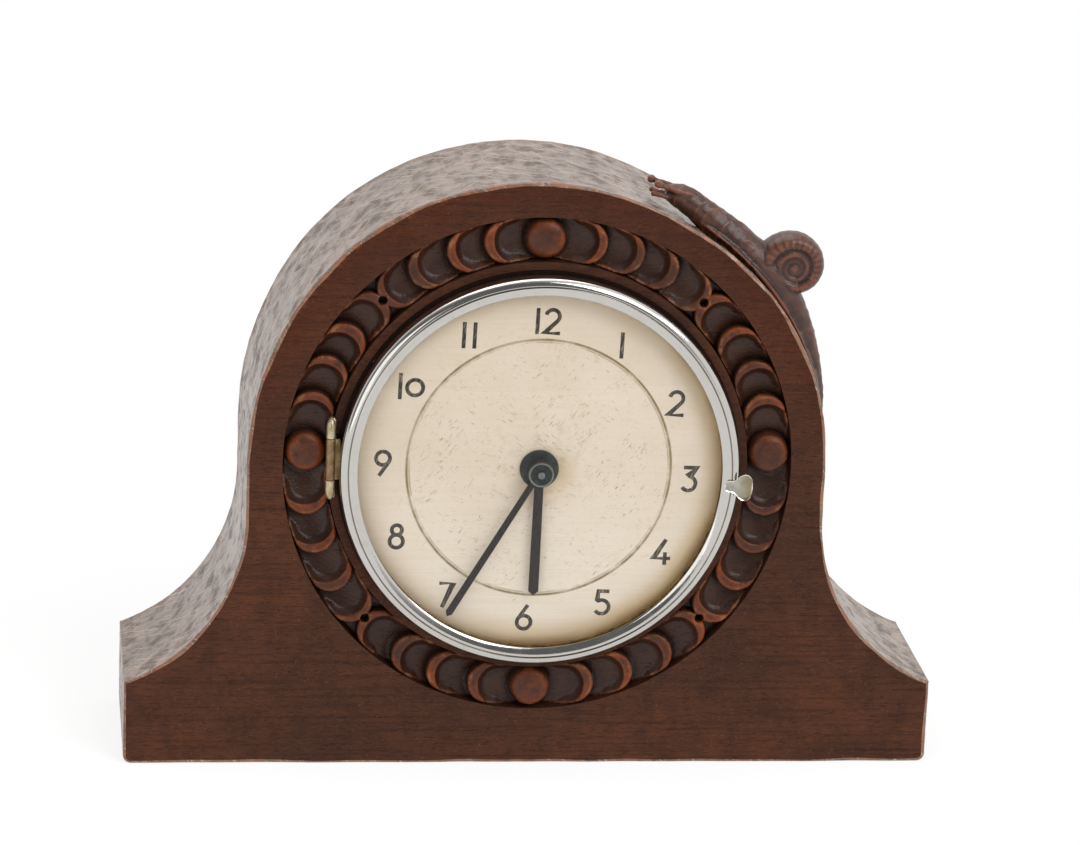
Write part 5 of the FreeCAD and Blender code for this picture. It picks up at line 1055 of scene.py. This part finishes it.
def snail_form():
    """Overlapping closed forms: foot and sole, four horns, and the coiled shell with its core."""
    points, faces = [], []
    side_axis = Vector((0, 1, 0))
    for table in (FOOT, SOLE):
        stations = []
        for turn, rise, width, height in between(table, 60):
            upwards = outwards(turn) * height * MM
            stations.append((on_arch(turn, rise), side_axis * width * MM, upwards))
        add_tube(points, faces, stations)
    horn_steps = 8
    for root, tip, root_radius, tip_radius, bulb in HORNS:
        start, end = on_arch(*root), on_arch(*tip)
        heading = (end - start).normalized()
        first_axis = heading.cross(side_axis).normalized()
        second_axis = heading.cross(first_axis)
        stations = []
        for share in (step / horn_steps for step in range(horn_steps + 1)):
            radius = (root_radius + (tip_radius - root_radius) * share) * MM
            stations.append((start.lerp(end, share), first_axis * radius, second_axis * radius))
        add_tube(points, faces, stations, sides=16)
        add_ball(points, faces, end, bulb * MM)
    centre = on_arch(SHELL_TURN, SHELL_RISE / MM)
    outward = outwards(SHELL_TURN)
    ahead = Vector((-outward.z, 0, outward.x))
    turns, growth, thickness, steps = 3.3, 1.75, 0.4, 240
    largest = SHELL_RADIUS / (1 + thickness)
    stations = []
    for step in range(steps + 1):
        back = turns * (1 - step / steps)
        radius = largest / growth**back
        turn = radians(-38) + 2 * pi * back
        spoke = ahead * cos(turn) + outward * sin(turn)
        half = thickness * radius * (1 + 0.02 * sin(turn * 26))
        spire = side_axis * (-(1 - radius / largest) * 4.4 * MM)
        stations.append((centre + spoke * radius + spire, spoke * half, side_axis * half * 1.7))
    add_tube(points, faces, stations, sides=36)
    add_ball(points, faces, centre, 0.42 * largest, flat=1.25)
    return points, faces


def build_snail():
    points, faces = snail_form()
    rough = bpy.data.meshes.new("snail_parts")
    rough.from_pydata([tuple(point) for point in points], [], faces)
    block = add_object("snail_parts", rough)
    remesh = block.modifiers.new("join", "REMESH")
    remesh.mode = "VOXEL"
    remesh.voxel_size = 0.4 * MM
    soften = block.modifiers.new("soften", "SMOOTH")
    soften.factor = 0.5
    soften.iterations = 3
    solid = block.evaluated_get(bpy.context.evaluated_depsgraph_get()).to_mesh()
    places = [vertex.co.copy() for vertex in solid.vertices]
    turns = np.array([atan2(place.z - DIAL_UP, place.x) for place in places])
    along = turns * (ARCH_RADIUS + 5 * MM)
    across = np.array([place.y for place in places])
    cuts, _ = scoops(along + across * 0.5, across * 1.3, pitch=3.1 * MM)
    shell_middle = on_arch(SHELL_TURN, SHELL_RISE / MM)
    rough_size, rough_height, cut_depth = 0.0032, 0.12, 0.3
    carved = []
    for vertex, place, cut in zip(solid.vertices, places, cuts):
        beside = hypot(place.x - shell_middle.x, place.z - shell_middle.z)
        body_share = min(max((beside - SHELL_RADIUS) / (1.5 * MM), 0.0), 1.0)
        change = cloud_at(*place, rough_size) * rough_height - float(cut) * cut_depth * body_share
        carved.append(place + vertex.normal * change * MM)
    solid_faces = [tuple(polygon.vertices) for polygon in solid.polygons]
    block.to_mesh_clear()
    bpy.data.objects.remove(block)
    bpy.data.meshes.remove(rough)
    limit = DIAL_UP + ARCH_RADIUS - 0.05 * MM
    carved = [(place.x, place.y, min(place.z, limit)) for place in carved]
    snail = make_piece("shoulder_snail", carved, solid_faces, oak_figure, merge=False)
    mark_wear(snail, rounds=8, reach=0.14 * MM)


# Painted dial
NUMBER_PLACES = (
    # Number, and its middle right of the dial's middle and above the base in millimetres
    ("12", 1.3, 164.55), ("1", 27.8, 156.05), ("2", 47.9, 134.95), ("3", 53.8, 107.25),
    ("4", 45.0, 80.05), ("5", 24.5, 61.25), ("6", -3.4, 55.5), ("7", -31.6, 64.1),
    ("8", -49.7, 85.75), ("9", -55.3, 112.7), ("10", -46.3, 140.65), ("11", -26.1, 159.35),
)
NUMBER_LEAN = radians(-1.6)
NUMBER_GAPS = (0.15, 0.2)  # shares of the height between two digits, the second in "11"
DIGITS = {
    # Half width of each digit, then its strokes as shares of the height
    "0": (0.3, (arc((0.0, 0.46), 0.3, 0, 360),)),
    "1": (0.1, (((0.0, 0.0), (0.0, 1.0)),)),
    "2": (0.3, (arc((0.0, 0.7), 0.25, 168, -38) + [(-0.28, 0.06), (0.3, 0.06)],)),
    "3": (
        0.29,
        ([(-0.24, 0.94), (0.24, 0.94), (-0.05, 0.58)] + arc((-0.03, 0.32), 0.27, 84, -148),),
    ),
    "4": (0.32, ([(0.14, 1.0), (-0.3, 0.26), (0.34, 0.26)], [(0.13, 0.5), (0.13, 0.0)])),
    "5": (
        0.29,
        ([(0.24, 0.94), (-0.17, 0.94), (-0.2, 0.56)] + arc((-0.02, 0.32), 0.27, 122, -148),),
    ),
    "6": (0.29, (arc((0.0, 0.32), 0.26, 0, 360), [(-0.25, 0.42), (0.12, 1.0)])),
    "7": (0.28, ([(-0.27, 0.94), (0.25, 0.94), (-0.12, 0.0)],)),
    "8": (0.29, (arc((0.0, 0.74), 0.19, 0, 360), arc((0.0, 0.3), 0.25, 0, 360))),
    "9": (0.29, (arc((0.0, 0.68), 0.26, 0, 360), [(0.25, 0.58), (-0.12, 0.0)])),
}


STROKE_SECTION = (
    # Share of the half width, and lift as a share of the paint's thickness
    (-1.0, 0.0), (-0.75, 1.0), (0.0, 1.3), (0.75, 1.0), (1.0, 0.0),
)
PAINT_THICKNESS = 0.035 * MM


def add_stroke(points, faces, line, half_width, station):
    """A flat painted stroke along a line of (x, y) places on the dial, a little domed."""
    start = len(points)
    count = len(line)
    closed = dist(line[0], line[-1]) < 0.01 * MM
    for step, place in enumerate(line):
        before = line[step - 1] if step else (line[-2] if closed else place)
        after = line[step + 1] if step < count - 1 else (line[1] if closed else place)
        heading = Vector((after[0] - before[0], after[1] - before[1])).normalized()
        first = Vector((place[0] - before[0], place[1] - before[1]))
        second = Vector((after[0] - place[0], after[1] - place[1]))
        spread = 1.0
        if first.length > 0 and second.length > 0:
            spread = 1 / max(cos(first.angle(second) / 2), 0.45)
        side = Vector((-heading.y, heading.x)) * half_width * spread
        for share, lift in STROKE_SECTION:
            x, y = place[0] + side.x * share, place[1] + side.y * share
            points.append(at(x, y, station + lift * PAINT_THICKNESS))
    faces += grid_faces(count, len(STROKE_SECTION), False, start)


def build_dial():
    s = sizes()
    plate_top, plate_low, hole = DIAL_TOP - 0.25 * MM, DIAL_TOP - 1.05 * MM, 6.2 * MM
    line, outer = s.line_circle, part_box("dial_plate")[1].x
    section = [(hole, plate_low), (hole, plate_top), (20 * MM, plate_top + 0.02 * MM)]
    for step in range(25):
        off = (step / 12 - 1) * 1.2 * MM
        share = abs(off) / (0.3 * MM)
        lift = 0.05 * exp(-((share - 1.6) ** 2) * 2) - 0.14 * exp(-(share**2) * 1.4)
        section.append((line + off, plate_top + lift * MM))
    section += [(60 * MM, plate_top), (64.5 * MM, plate_top - 0.05 * MM)]
    section += [(outer - 0.2 * MM, plate_top - 0.15 * MM), (outer, plate_top - 0.35 * MM)]
    section += [(outer, plate_low)]
    make_piece("painted_dial", *lathe(section, 360), dial_paint)
    points, faces = [], []
    lean = Matrix.Rotation(NUMBER_LEAN, 2)
    for word, across, up in NUMBER_PLACES:
        gap = NUMBER_GAPS[word == "11"] * s.number_height
        widths = [DIGITS[digit][0] * 2 * s.number_height for digit in word]
        begin = -(sum(widths) + gap * (len(word) - 1)) / 2
        for digit, width in zip(word, widths):
            for stroke in DIGITS[digit][1]:
                line = []
                for share_x, share_y in stroke:
                    x = begin + width / 2 + share_x * s.number_height
                    y = (share_y - 0.5) * s.number_height
                    turned = lean @ Vector((x, y))
                    line.append((across * MM + turned.x, up * MM - DIAL_UP + turned.y))
                add_stroke(points, faces, line, s.number_stroke / 2, plate_top)
            begin += width + gap
    make_piece("dial_numbers", points, faces, number_paint)


# Hinged bezel
BEZEL_SECTION = (
    # Radius and station in millimetres from the skirt over the crown to the seat of the glass
    (67.4, 36.5), (70.5, 36.5), (70.8, 36.8), (70.8, 41.6),
)
BEZEL_INSIDE = (
    (68.35, 44.8), (68.12, 44.74), (67.98, 44.3), (67.86, 44.12), (67.74, 44.3), (67.6, 44.72),
    (67.4, 44.8), (66.6, 44.72), (65.4, 44.36), (64.75, 44.06), (64.5, 43.8), (64.55, 43.35),
    (64.9, 43.25), (66.5, 43.25), (66.6, 40.6), (67.4, 40.2),
)
GLASS_EDGE, GLASS_LOW, GLASS_RIM, GLASS_BEND = 66.4 * MM, 40.8 * MM, 42.6 * MM, 279.6 * MM


def in_metres(places):
    return [(first * MM, second * MM) for first, second in places]


def bevelled(outline, low, high, bevel):
    """A flat plate with softened edges from (x, y) places on the dial, wound either way."""
    count = len(outline)
    middle = Vector([sum(values) / count for values in zip(*outline)])
    points = []
    for inset, station in ((bevel, low), (0.0, low + bevel), (0.0, high - bevel), (bevel, high)):
        for step, place in enumerate(outline):
            before, after = Vector(outline[step - 1]), Vector(outline[(step + 1) % count])
            here = Vector(place)
            inward = (before - here).normalized() + (after - here).normalized()
            if inward.length < 1e-3:
                heading = after - before
                inward = Vector((-heading.y, heading.x))
            inward.normalize()
            if inward.dot(middle - here) < 0:
                inward.negate()
            points.append(at(*(here + inward * inset), station))
    ends = [tuple(range(count)), tuple(range(3 * count, 4 * count))]
    return points, grid_faces(4, count) + ends


def turned_place(along, side, turn):
    """A place on the dial from along and beside a spoke at a turn in degrees."""
    across, up = cos(radians(turn)), sin(radians(turn))
    return (along * across - side * up, along * up + side * across)


def build_bezel():
    crown = arc((67.9 * MM, 41.8 * MM), 3.0 * MM, 15, 84, 12)
    crown = [(min(radius, 70.8 * MM), station) for radius, station in crown]
    section = in_metres(BEZEL_SECTION) + crown + in_metres(BEZEL_INSIDE)
    weigh_normals(make_piece("bezel_rim", *lathe(section, 360), chrome_plate))
    steps = 26
    drop = sqrt(GLASS_BEND**2 - GLASS_EDGE**2)
    radii = [GLASS_EDGE * (1 - step / steps) for step in range(steps + 1)]
    bulge = [(radius, sqrt(GLASS_BEND**2 - radius**2) - drop) for radius in radii]
    inside = [(radius, GLASS_LOW + rise) for radius, rise in reversed(bulge)]
    outside = [(radius, GLASS_RIM + rise) for radius, rise in bulge]
    make_piece("bezel_crystal", *lathe(inside + outside, 180, closed=False), clear_glass)
    build_tab()
    build_hinge()


BARREL_ACROSS, BARREL_STATION, BARREL_RADIUS = -73.8 * MM, 38.2 * MM, 1.7 * MM
DOMED_END, SQUARE_END = (1.5 * MM, 3.6 * MM), (0.25 * MM, 0.25 * MM)


def add_barrel(points, faces, low, high, low_end, high_end):
    """An upright hinge barrel between two heights on the dial, its ends domed or square."""
    tip = 0.02 * MM
    profile = [(tip, low)]
    for height, upwards, (soft, rise) in ((low, 1, low_end), (high, -1, high_end)):
        rounded = []
        for turn in (pi / 2 * step / 8 for step in range(9)):
            reach = BARREL_RADIUS - soft * (1 - sin(turn))
            rounded.append((reach, height + upwards * rise * (1 - cos(turn))))
        profile += rounded[::upwards]
    rings = []
    for reach, height in profile + [(tip, high)]:
        middle = Vector(at(BARREL_ACROSS, height, BARREL_STATION))
        rings.append((middle, Vector((reach, 0, 0)), Vector((0, reach, 0))))
    add_tube(points, faces, rings, sides=40)


def leaf(left, right, low, high, corner, back, front):
    """A bevelled hinge leaf with rounded corners, all its lengths in millimetres."""
    outline = arc((right - corner, high - corner), corner, 0, 90, 5)
    outline += arc((left + corner, high - corner), corner, 90, 180, 5)
    outline += arc((left + corner, low + corner), corner, 180, 270, 5)
    outline += arc((right - corner, low + corner), corner, 270, 360, 5)
    return bevelled(in_metres(outline), back * MM, front * MM, 0.15 * MM)


def build_hinge():
    points, faces = [], []
    add_barrel(points, faces, -11.3 * MM, -4.25 * MM, DOMED_END, SQUARE_END)
    add_barrel(points, faces, 11.05 * MM, 18.1 * MM, SQUARE_END, DOMED_END)
    add_form(points, faces, leaf(-74.6, -71.9, -11.2, 18.0, 0.9, 35.05, 36.9))
    brass = aged_metal("hinge_brass", "hinge_brass", "a3906e", "6a5638", spots=0.3, rough=0.22)
    make_piece("hinge_fixed_barrel", points, faces, brass)
    points, faces = [], []
    add_barrel(points, faces, -4.1 * MM, 10.9 * MM, SQUARE_END, SQUARE_END)
    add_form(points, faces, leaf(-73.8, -70.4, -4.0, 10.8, 0.6, 37.7, 38.7))
    bronze = aged_metal("hinge_bronze", "hinge_bronze", "7b6346", "54412c", spots=0.35, rough=0.28)
    make_piece("hinge_bezel_barrel", points, faces, bronze)


TAB_HALVES = (
    # Share of the tab's length from the neck outwards, and half of its width in millimetres
    (0.0, 0.02), (0.015, 0.9), (0.05, 1.55), (0.1, 1.95), (0.17, 2.12), (0.26, 2.12),
    (0.34, 2.35), (0.43, 3.05), (0.52, 3.95), (0.6, 4.55), (0.68, 4.85), (0.76, 4.85),
    (0.84, 4.5), (0.91, 3.85), (0.955, 3.1), (0.985, 2.1), (1.0, 0.02),
)


def build_tab():
    """The cupped thumb tab, fanned out from its neck, with a raised rim all round."""
    turn, inner, outer, low = -3.4, 65.3 * MM, 75.3 * MM, 44.95 * MM
    rim_width, rows, columns = 0.75 * MM, 57, 25
    shares, halves = zip(*TAB_HALVES)
    points, rims = [], []
    for layer in range(2):
        for row in range(rows):
            along = (1 - cos(pi * row / (rows - 1))) / 2
            half = float(np.interp(along, shares, halves)) * MM
            ends = min(along, 1 - along) * (outer - inner)
            for column in range(columns):
                side = sin(pi * (column / (columns - 1) - 0.5))
                rim = max(0.0, 1 - min(half * (1 - abs(side)), ends) / rim_width)
                bead = 0.35 * (3 * rim**2 - 2 * rim**3) - 0.25 * max(0.0, 1 - rim / 0.3) * rim**2
                dish = 0.5 * along * side**2 + 0.3 * along
                station = low + (0.45 + bead + dish * 0.6 - layer * 0.4) * MM
                place = turned_place(inner + (outer - inner) * along, half * side, turn)
                points.append(at(*place, max(station, low)))
                rims.append(rim)
    faces = grid_faces(rows, columns, False) + grid_faces(rows, columns, False, rows * columns)
    rim = list(range(columns))
    rim += [row * columns + columns - 1 for row in range(1, rows)]
    rim += [(rows - 1) * columns + column for column in range(columns - 2, -1, -1)]
    rim += [row * columns for row in range(rows - 2, 0, -1)]
    under = rows * columns
    for step, corner in enumerate(rim):
        beside = rim[(step + 1) % len(rim)]
        faces.append((corner, beside, under + beside, under + corner))
    tab = make_piece("bezel_tab", points, faces, tab_chrome, merge=False)
    set_field(tab, "rim", rims)


# Hands and the boss that they turn on
BOSS_SECTION = (
    # Radius and station in millimetres, as for the button
    (3.6, 37.3), (6.6, 37.3), (6.9, 37.6), (6.9, 38.5), (6.5, 39.05), (5.6, 39.3), (3.6, 39.3),
)
BUTTON_SECTION = (
    (1.1, 42.2), (2.4, 42.2), (2.4, 44.3), (4.3, 44.3), (4.6, 44.55), (4.6, 45.45), (4.4, 45.7),
    (3.9, 45.78), (3.5, 45.5), (1.9, 45.4), (1.1, 45.55),
)


def hand_outline(length, root_half, end_half, point, hub, turn):
    """Outline of a straight hand with a round hub, lengths in millimetres, turn from noon."""
    start = degrees(asin(root_half / hub))
    places = arc((0.0, 0.0), hub, start, 360 - start, 24)
    places += [(length - point, -end_half), (length, 0.0), (length - point, end_half)]
    return in_metres(turned_place(along, side, 90 - turn) for along, side in places)


def build_hands():
    bevel = 0.14 * MM
    hour = hand_outline(length=46.2, root_half=1.6, end_half=1.8, point=1.6, hub=4.2, turn=181.0)
    make_piece("hour_pointer", *bevelled(hour, 39.7 * MM, 40.3 * MM, bevel), hand_metal)
    minute = hand_outline(length=62.0, root_half=0.95, end_half=1.3, point=1.4, hub=3.6, turn=210.5)
    make_piece("minute_pointer", *bevelled(minute, 41.3 * MM, 41.9 * MM, bevel), hand_metal)
    make_piece("hand_boss", *lathe(in_metres(BOSS_SECTION), 120), boss_patina)
    make_piece("hand_button", *lathe(in_metres(BUTTON_SECTION), 120), button_metal)


# Finishes of the pieces that keep their worked forms
def finish_movement():
    finishes = (
        (
            brushed("plate_brass", "movement_brass", "a5823f", rough=0.36),
            "front_plate back_plate dust_cover barrel_drum barrel_cover cover_posts",
        ),
        (
            brushed("wheel_brass", "movement_brass", "a07c3c", rough=0.26),
            "intermediate_wheel third_wheel fourth_wheel centre_wheel escape_wheel balance_wheel "
            "minute_wheel hour_wheel",
        ),
        (
            brushed("post_steel", "steel", "5f6165", rough=0.3),
            "movement_posts post_nuts plate_pillars pillar_screws seat_screws dust_cover_screws "
            "barrel_arbor ratchet_wheel click click_screw intermediate_arbor third_arbor "
            "fourth_arbor centre_arbor escape_arbor pallet_lever pallet_arbor balance_staff "
            "balance_cone_screws hairspring_stud regulator_lever cannon_pinion minute_stud",
        ),
        (
            brushed("spring_blue", "blued_steel", "1b2238", rough=0.28),
            "mainspring click_spring hairspring",
        ),
        (
            aged_metal("key_brass", "movement_brass", "8f6c34", "5c4421", spots=0.3, rough=0.22),
            "winding_key setting_knob",
        ),
        (
            aged_metal("seat_metal", "hand_brown", "2a1812", "3d2a1c", spots=0.4, rough=0.5),
            "seat_plate",
        ),
        (
            aged_metal("ring_metal", "movement_brass", "6e5a36", "43341e", spots=0.4, rough=0.42),
            "glass_ring",
        ),
    )
    for maker, nodes in finishes:
        for node in nodes.split():
            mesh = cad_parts[node].data
            mesh.materials.clear()
            mesh.materials.append(finish_once(maker))


class SHELFCLOCK_OT_case(bpy.types.Operator):
    """Shapes the adzed oak case."""

    bl_idname = "shelf_clock.case"
    bl_label = "Oak case"

    def execute(self, context):
        build_case()
        return {"FINISHED"}


class SHELFCLOCK_OT_ring(bpy.types.Operator):
    """Carves the ring of coins and balls."""

    bl_idname = "shelf_clock.ring"
    bl_label = "Carved ring"

    def execute(self, context):
        build_ring()
        return {"FINISHED"}


class SHELFCLOCK_OT_snail(bpy.types.Operator):
    """Carves the snail on the shoulder."""

    bl_idname = "shelf_clock.snail"
    bl_label = "Snail"

    def execute(self, context):
        build_snail()
        return {"FINISHED"}


class SHELFCLOCK_OT_dial(bpy.types.Operator):
    """Paints the dial and its numbers."""

    bl_idname = "shelf_clock.dial"
    bl_label = "Dial and numbers"

    def execute(self, context):
        build_dial()
        return {"FINISHED"}


class SHELFCLOCK_OT_bezel(bpy.types.Operator):
    """Turns the bezel, its glass and its thumb tab."""

    bl_idname = "shelf_clock.bezel"
    bl_label = "Bezel and glass"

    def execute(self, context):
        build_bezel()
        return {"FINISHED"}


class SHELFCLOCK_OT_hands(bpy.types.Operator):
    """Cuts the hands and turns their boss."""

    bl_idname = "shelf_clock.hands"
    bl_label = "Hands and boss"

    def execute(self, context):
        build_hands()
        return {"FINISHED"}


class SHELFCLOCK_OT_movement(bpy.types.Operator):
    """Finishes the movement and the pieces at the back."""

    bl_idname = "shelf_clock.movement"
    bl_label = "Movement finishes"

    def execute(self, context):
        finish_movement()
        return {"FINISHED"}


class SHELFCLOCK_OT_stage(bpy.types.Operator):
    """Lays the floor and the backdrop, hangs the lights and sets the camera."""

    bl_idname = "shelf_clock.stage"
    bl_label = "Stage"

    def execute(self, context):
        scene = context.scene
        floor = bpy.data.meshes.new("floor")
        floor.from_pydata([(-3, -3, 0), (3, -3, 0), (3, 3, 0), (-3, 3, 0)], [], [(0, 1, 2, 3)])
        floor.materials.append(finish_once(pale_sheet))
        add_object("floor", floor)
        hang_lights()
        scene.world = white_world()
        scene.view_settings.view_transform = "Standard"
        scene.camera = aimed_camera()
        return {"FINISHED"}


def pale_sheet(sheet):
    """A white floor that takes the clock's shadow and goes over into plain white farther out."""
    base = sheet.blend(sheet.grain(300, 2, 0.5), "floor", "fbfbfa")
    lit = sheet.node("ShaderNodeBsdfDiffuse", {"Color": base, "Roughness": 0.9})
    white = sheet.node("ShaderNodeEmission", {"Color": (1, 1, 1, 1), "Strength": 1.0})
    across, back = sheet.axis("X") / 1.25, sheet.axis("Y")
    far = 0.78 + ((across * across + back * back) ** 0.5).step(130, 280) * 0.22
    return sheet.show_mix(far, lit, white)


def hang_lights():
    lights = (
        # Name, place and width in metres, power in watts, and colour
        ("key_light", (0.85, -1.25, 1.25), 1.0, 12.5, (1.0, 1.0, 1.0)),
        ("fill_light", (-1.1, -1.4, 0.3), 1.2, 6.5, (1.0, 1.0, 1.0)),
        ("top_light", (-0.2, 0.3, 1.5), 1.3, 10.0, (1.0, 1.0, 1.0)),
        ("window_light", (1.3, -0.55, 1.0), 0.28, 2.6, (0.78, 0.87, 1.0)),
    )
    target = Vector((0, 0, 0.1))
    for name, place, size, power, glow in lights:
        light = bpy.data.lights.new(name, "AREA")
        light.size = size
        light.energy = power
        light.color = glow
        lamp = add_object(name, light)
        lamp.location = place
        lamp.rotation_euler = (target - Vector(place)).to_track_quat("-Z", "Y").to_euler()


def white_world():
    """A white room: full white where seen, softer as light, dim in mirrors round the viewer."""
    room = Finish(bpy.data.worlds.new("white_room"), "ShaderNodeOutputWorld")
    path = room.node("ShaderNodeLightPath")
    rays = ("Is Camera Ray", "Is Transmission Ray", "Is Glossy Ray")
    seen, through, mirrored = (Field(room, path.outputs[name]) for name in rays)
    direct = seen.math("MAXIMUM", through).math("MAXIMUM", mirrored)
    viewer = tuple(Vector((-0.42, -0.88, 0.22)).normalized())
    directions = {0: room.places.outputs["Generated"], 1: viewer}
    near_viewer = room.read("ShaderNodeVectorMath", directions, "Value", operation="DOT_PRODUCT")
    strength = 0.62 + direct * 0.38 - mirrored * near_viewer.step(0.25, 0.8) * 0.85
    light = room.node("ShaderNodeBackground", {"Color": (1, 1, 1, 1), "Strength": strength})
    return room.show(light)


def aimed_camera():
    """The camera: turned and tipped round a target at a distance, with a little roll."""
    azimuth, elevation, roll = radians(-6.65), radians(15.85), radians(2.12)
    target, distance = Vector((4.1, 0, 117.2)) * MM, 1.714
    level = cos(elevation)
    away = Vector((sin(azimuth) * level, -cos(azimuth) * level, sin(elevation)))
    lens = bpy.data.cameras.new("photo_camera")
    lens.lens = 158.7
    lens.sensor_width = 36.0
    lens.clip_end = 20
    camera = add_object("photo_camera", lens)
    right = (-away).cross(Vector((0, 0, 1))).normalized()
    up = right.cross(-away)
    turned_right = cos(roll) * right + sin(roll) * up
    turned_up = -sin(roll) * right + cos(roll) * up
    turn = Matrix((turned_right, turned_up, away)).transposed()
    camera.matrix_world = Matrix.Translation(target + distance * away) @ turn.to_4x4()
    return camera


class SHELFCLOCK_PT_sidebar(bpy.types.Panel):
    """Lists the steps that dress the clock."""

    bl_label = "Shelf Clock"
    bl_idname = "SHELFCLOCK_PT_sidebar"
    bl_space_type = "VIEW_3D"
    bl_region_type = "UI"
    bl_category = "Shelf Clock"

    def draw(self, context):
        for operator in OPERATORS:
            self.layout.operator(operator.bl_idname)
        for group in (context.scene.shelf_clock_sizes, context.scene.shelf_clock_colours):
            for key in group.__annotations__:
                self.layout.prop(group, key)


OPERATORS = (
    SHELFCLOCK_OT_case,
    SHELFCLOCK_OT_ring,
    SHELFCLOCK_OT_snail,
    SHELFCLOCK_OT_dial,
    SHELFCLOCK_OT_bezel,
    SHELFCLOCK_OT_hands,
    SHELFCLOCK_OT_movement,
    SHELFCLOCK_OT_stage,
)
CLASSES = (SHELFCLOCK_PG_sizes, SHELFCLOCK_PG_colours, *OPERATORS, SHELFCLOCK_PT_sidebar)


def register():
    for made in CLASSES:
        bpy.utils.register_class(made)
    bpy.types.Scene.shelf_clock_sizes = bpy.props.PointerProperty(type=SHELFCLOCK_PG_sizes)
    bpy.types.Scene.shelf_clock_colours = bpy.props.PointerProperty(type=SHELFCLOCK_PG_colours)


def unregister():
    del bpy.types.Scene.shelf_clock_colours
    del bpy.types.Scene.shelf_clock_sizes
    for made in reversed(CLASSES):
        bpy.utils.unregister_class(made)


def main():
    register()
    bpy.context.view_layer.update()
    for operator in OPERATORS:
        module, name = operator.bl_idname.split(".")
        getattr(getattr(bpy.ops, module), name)()


if __name__ == "__main__":
    main()
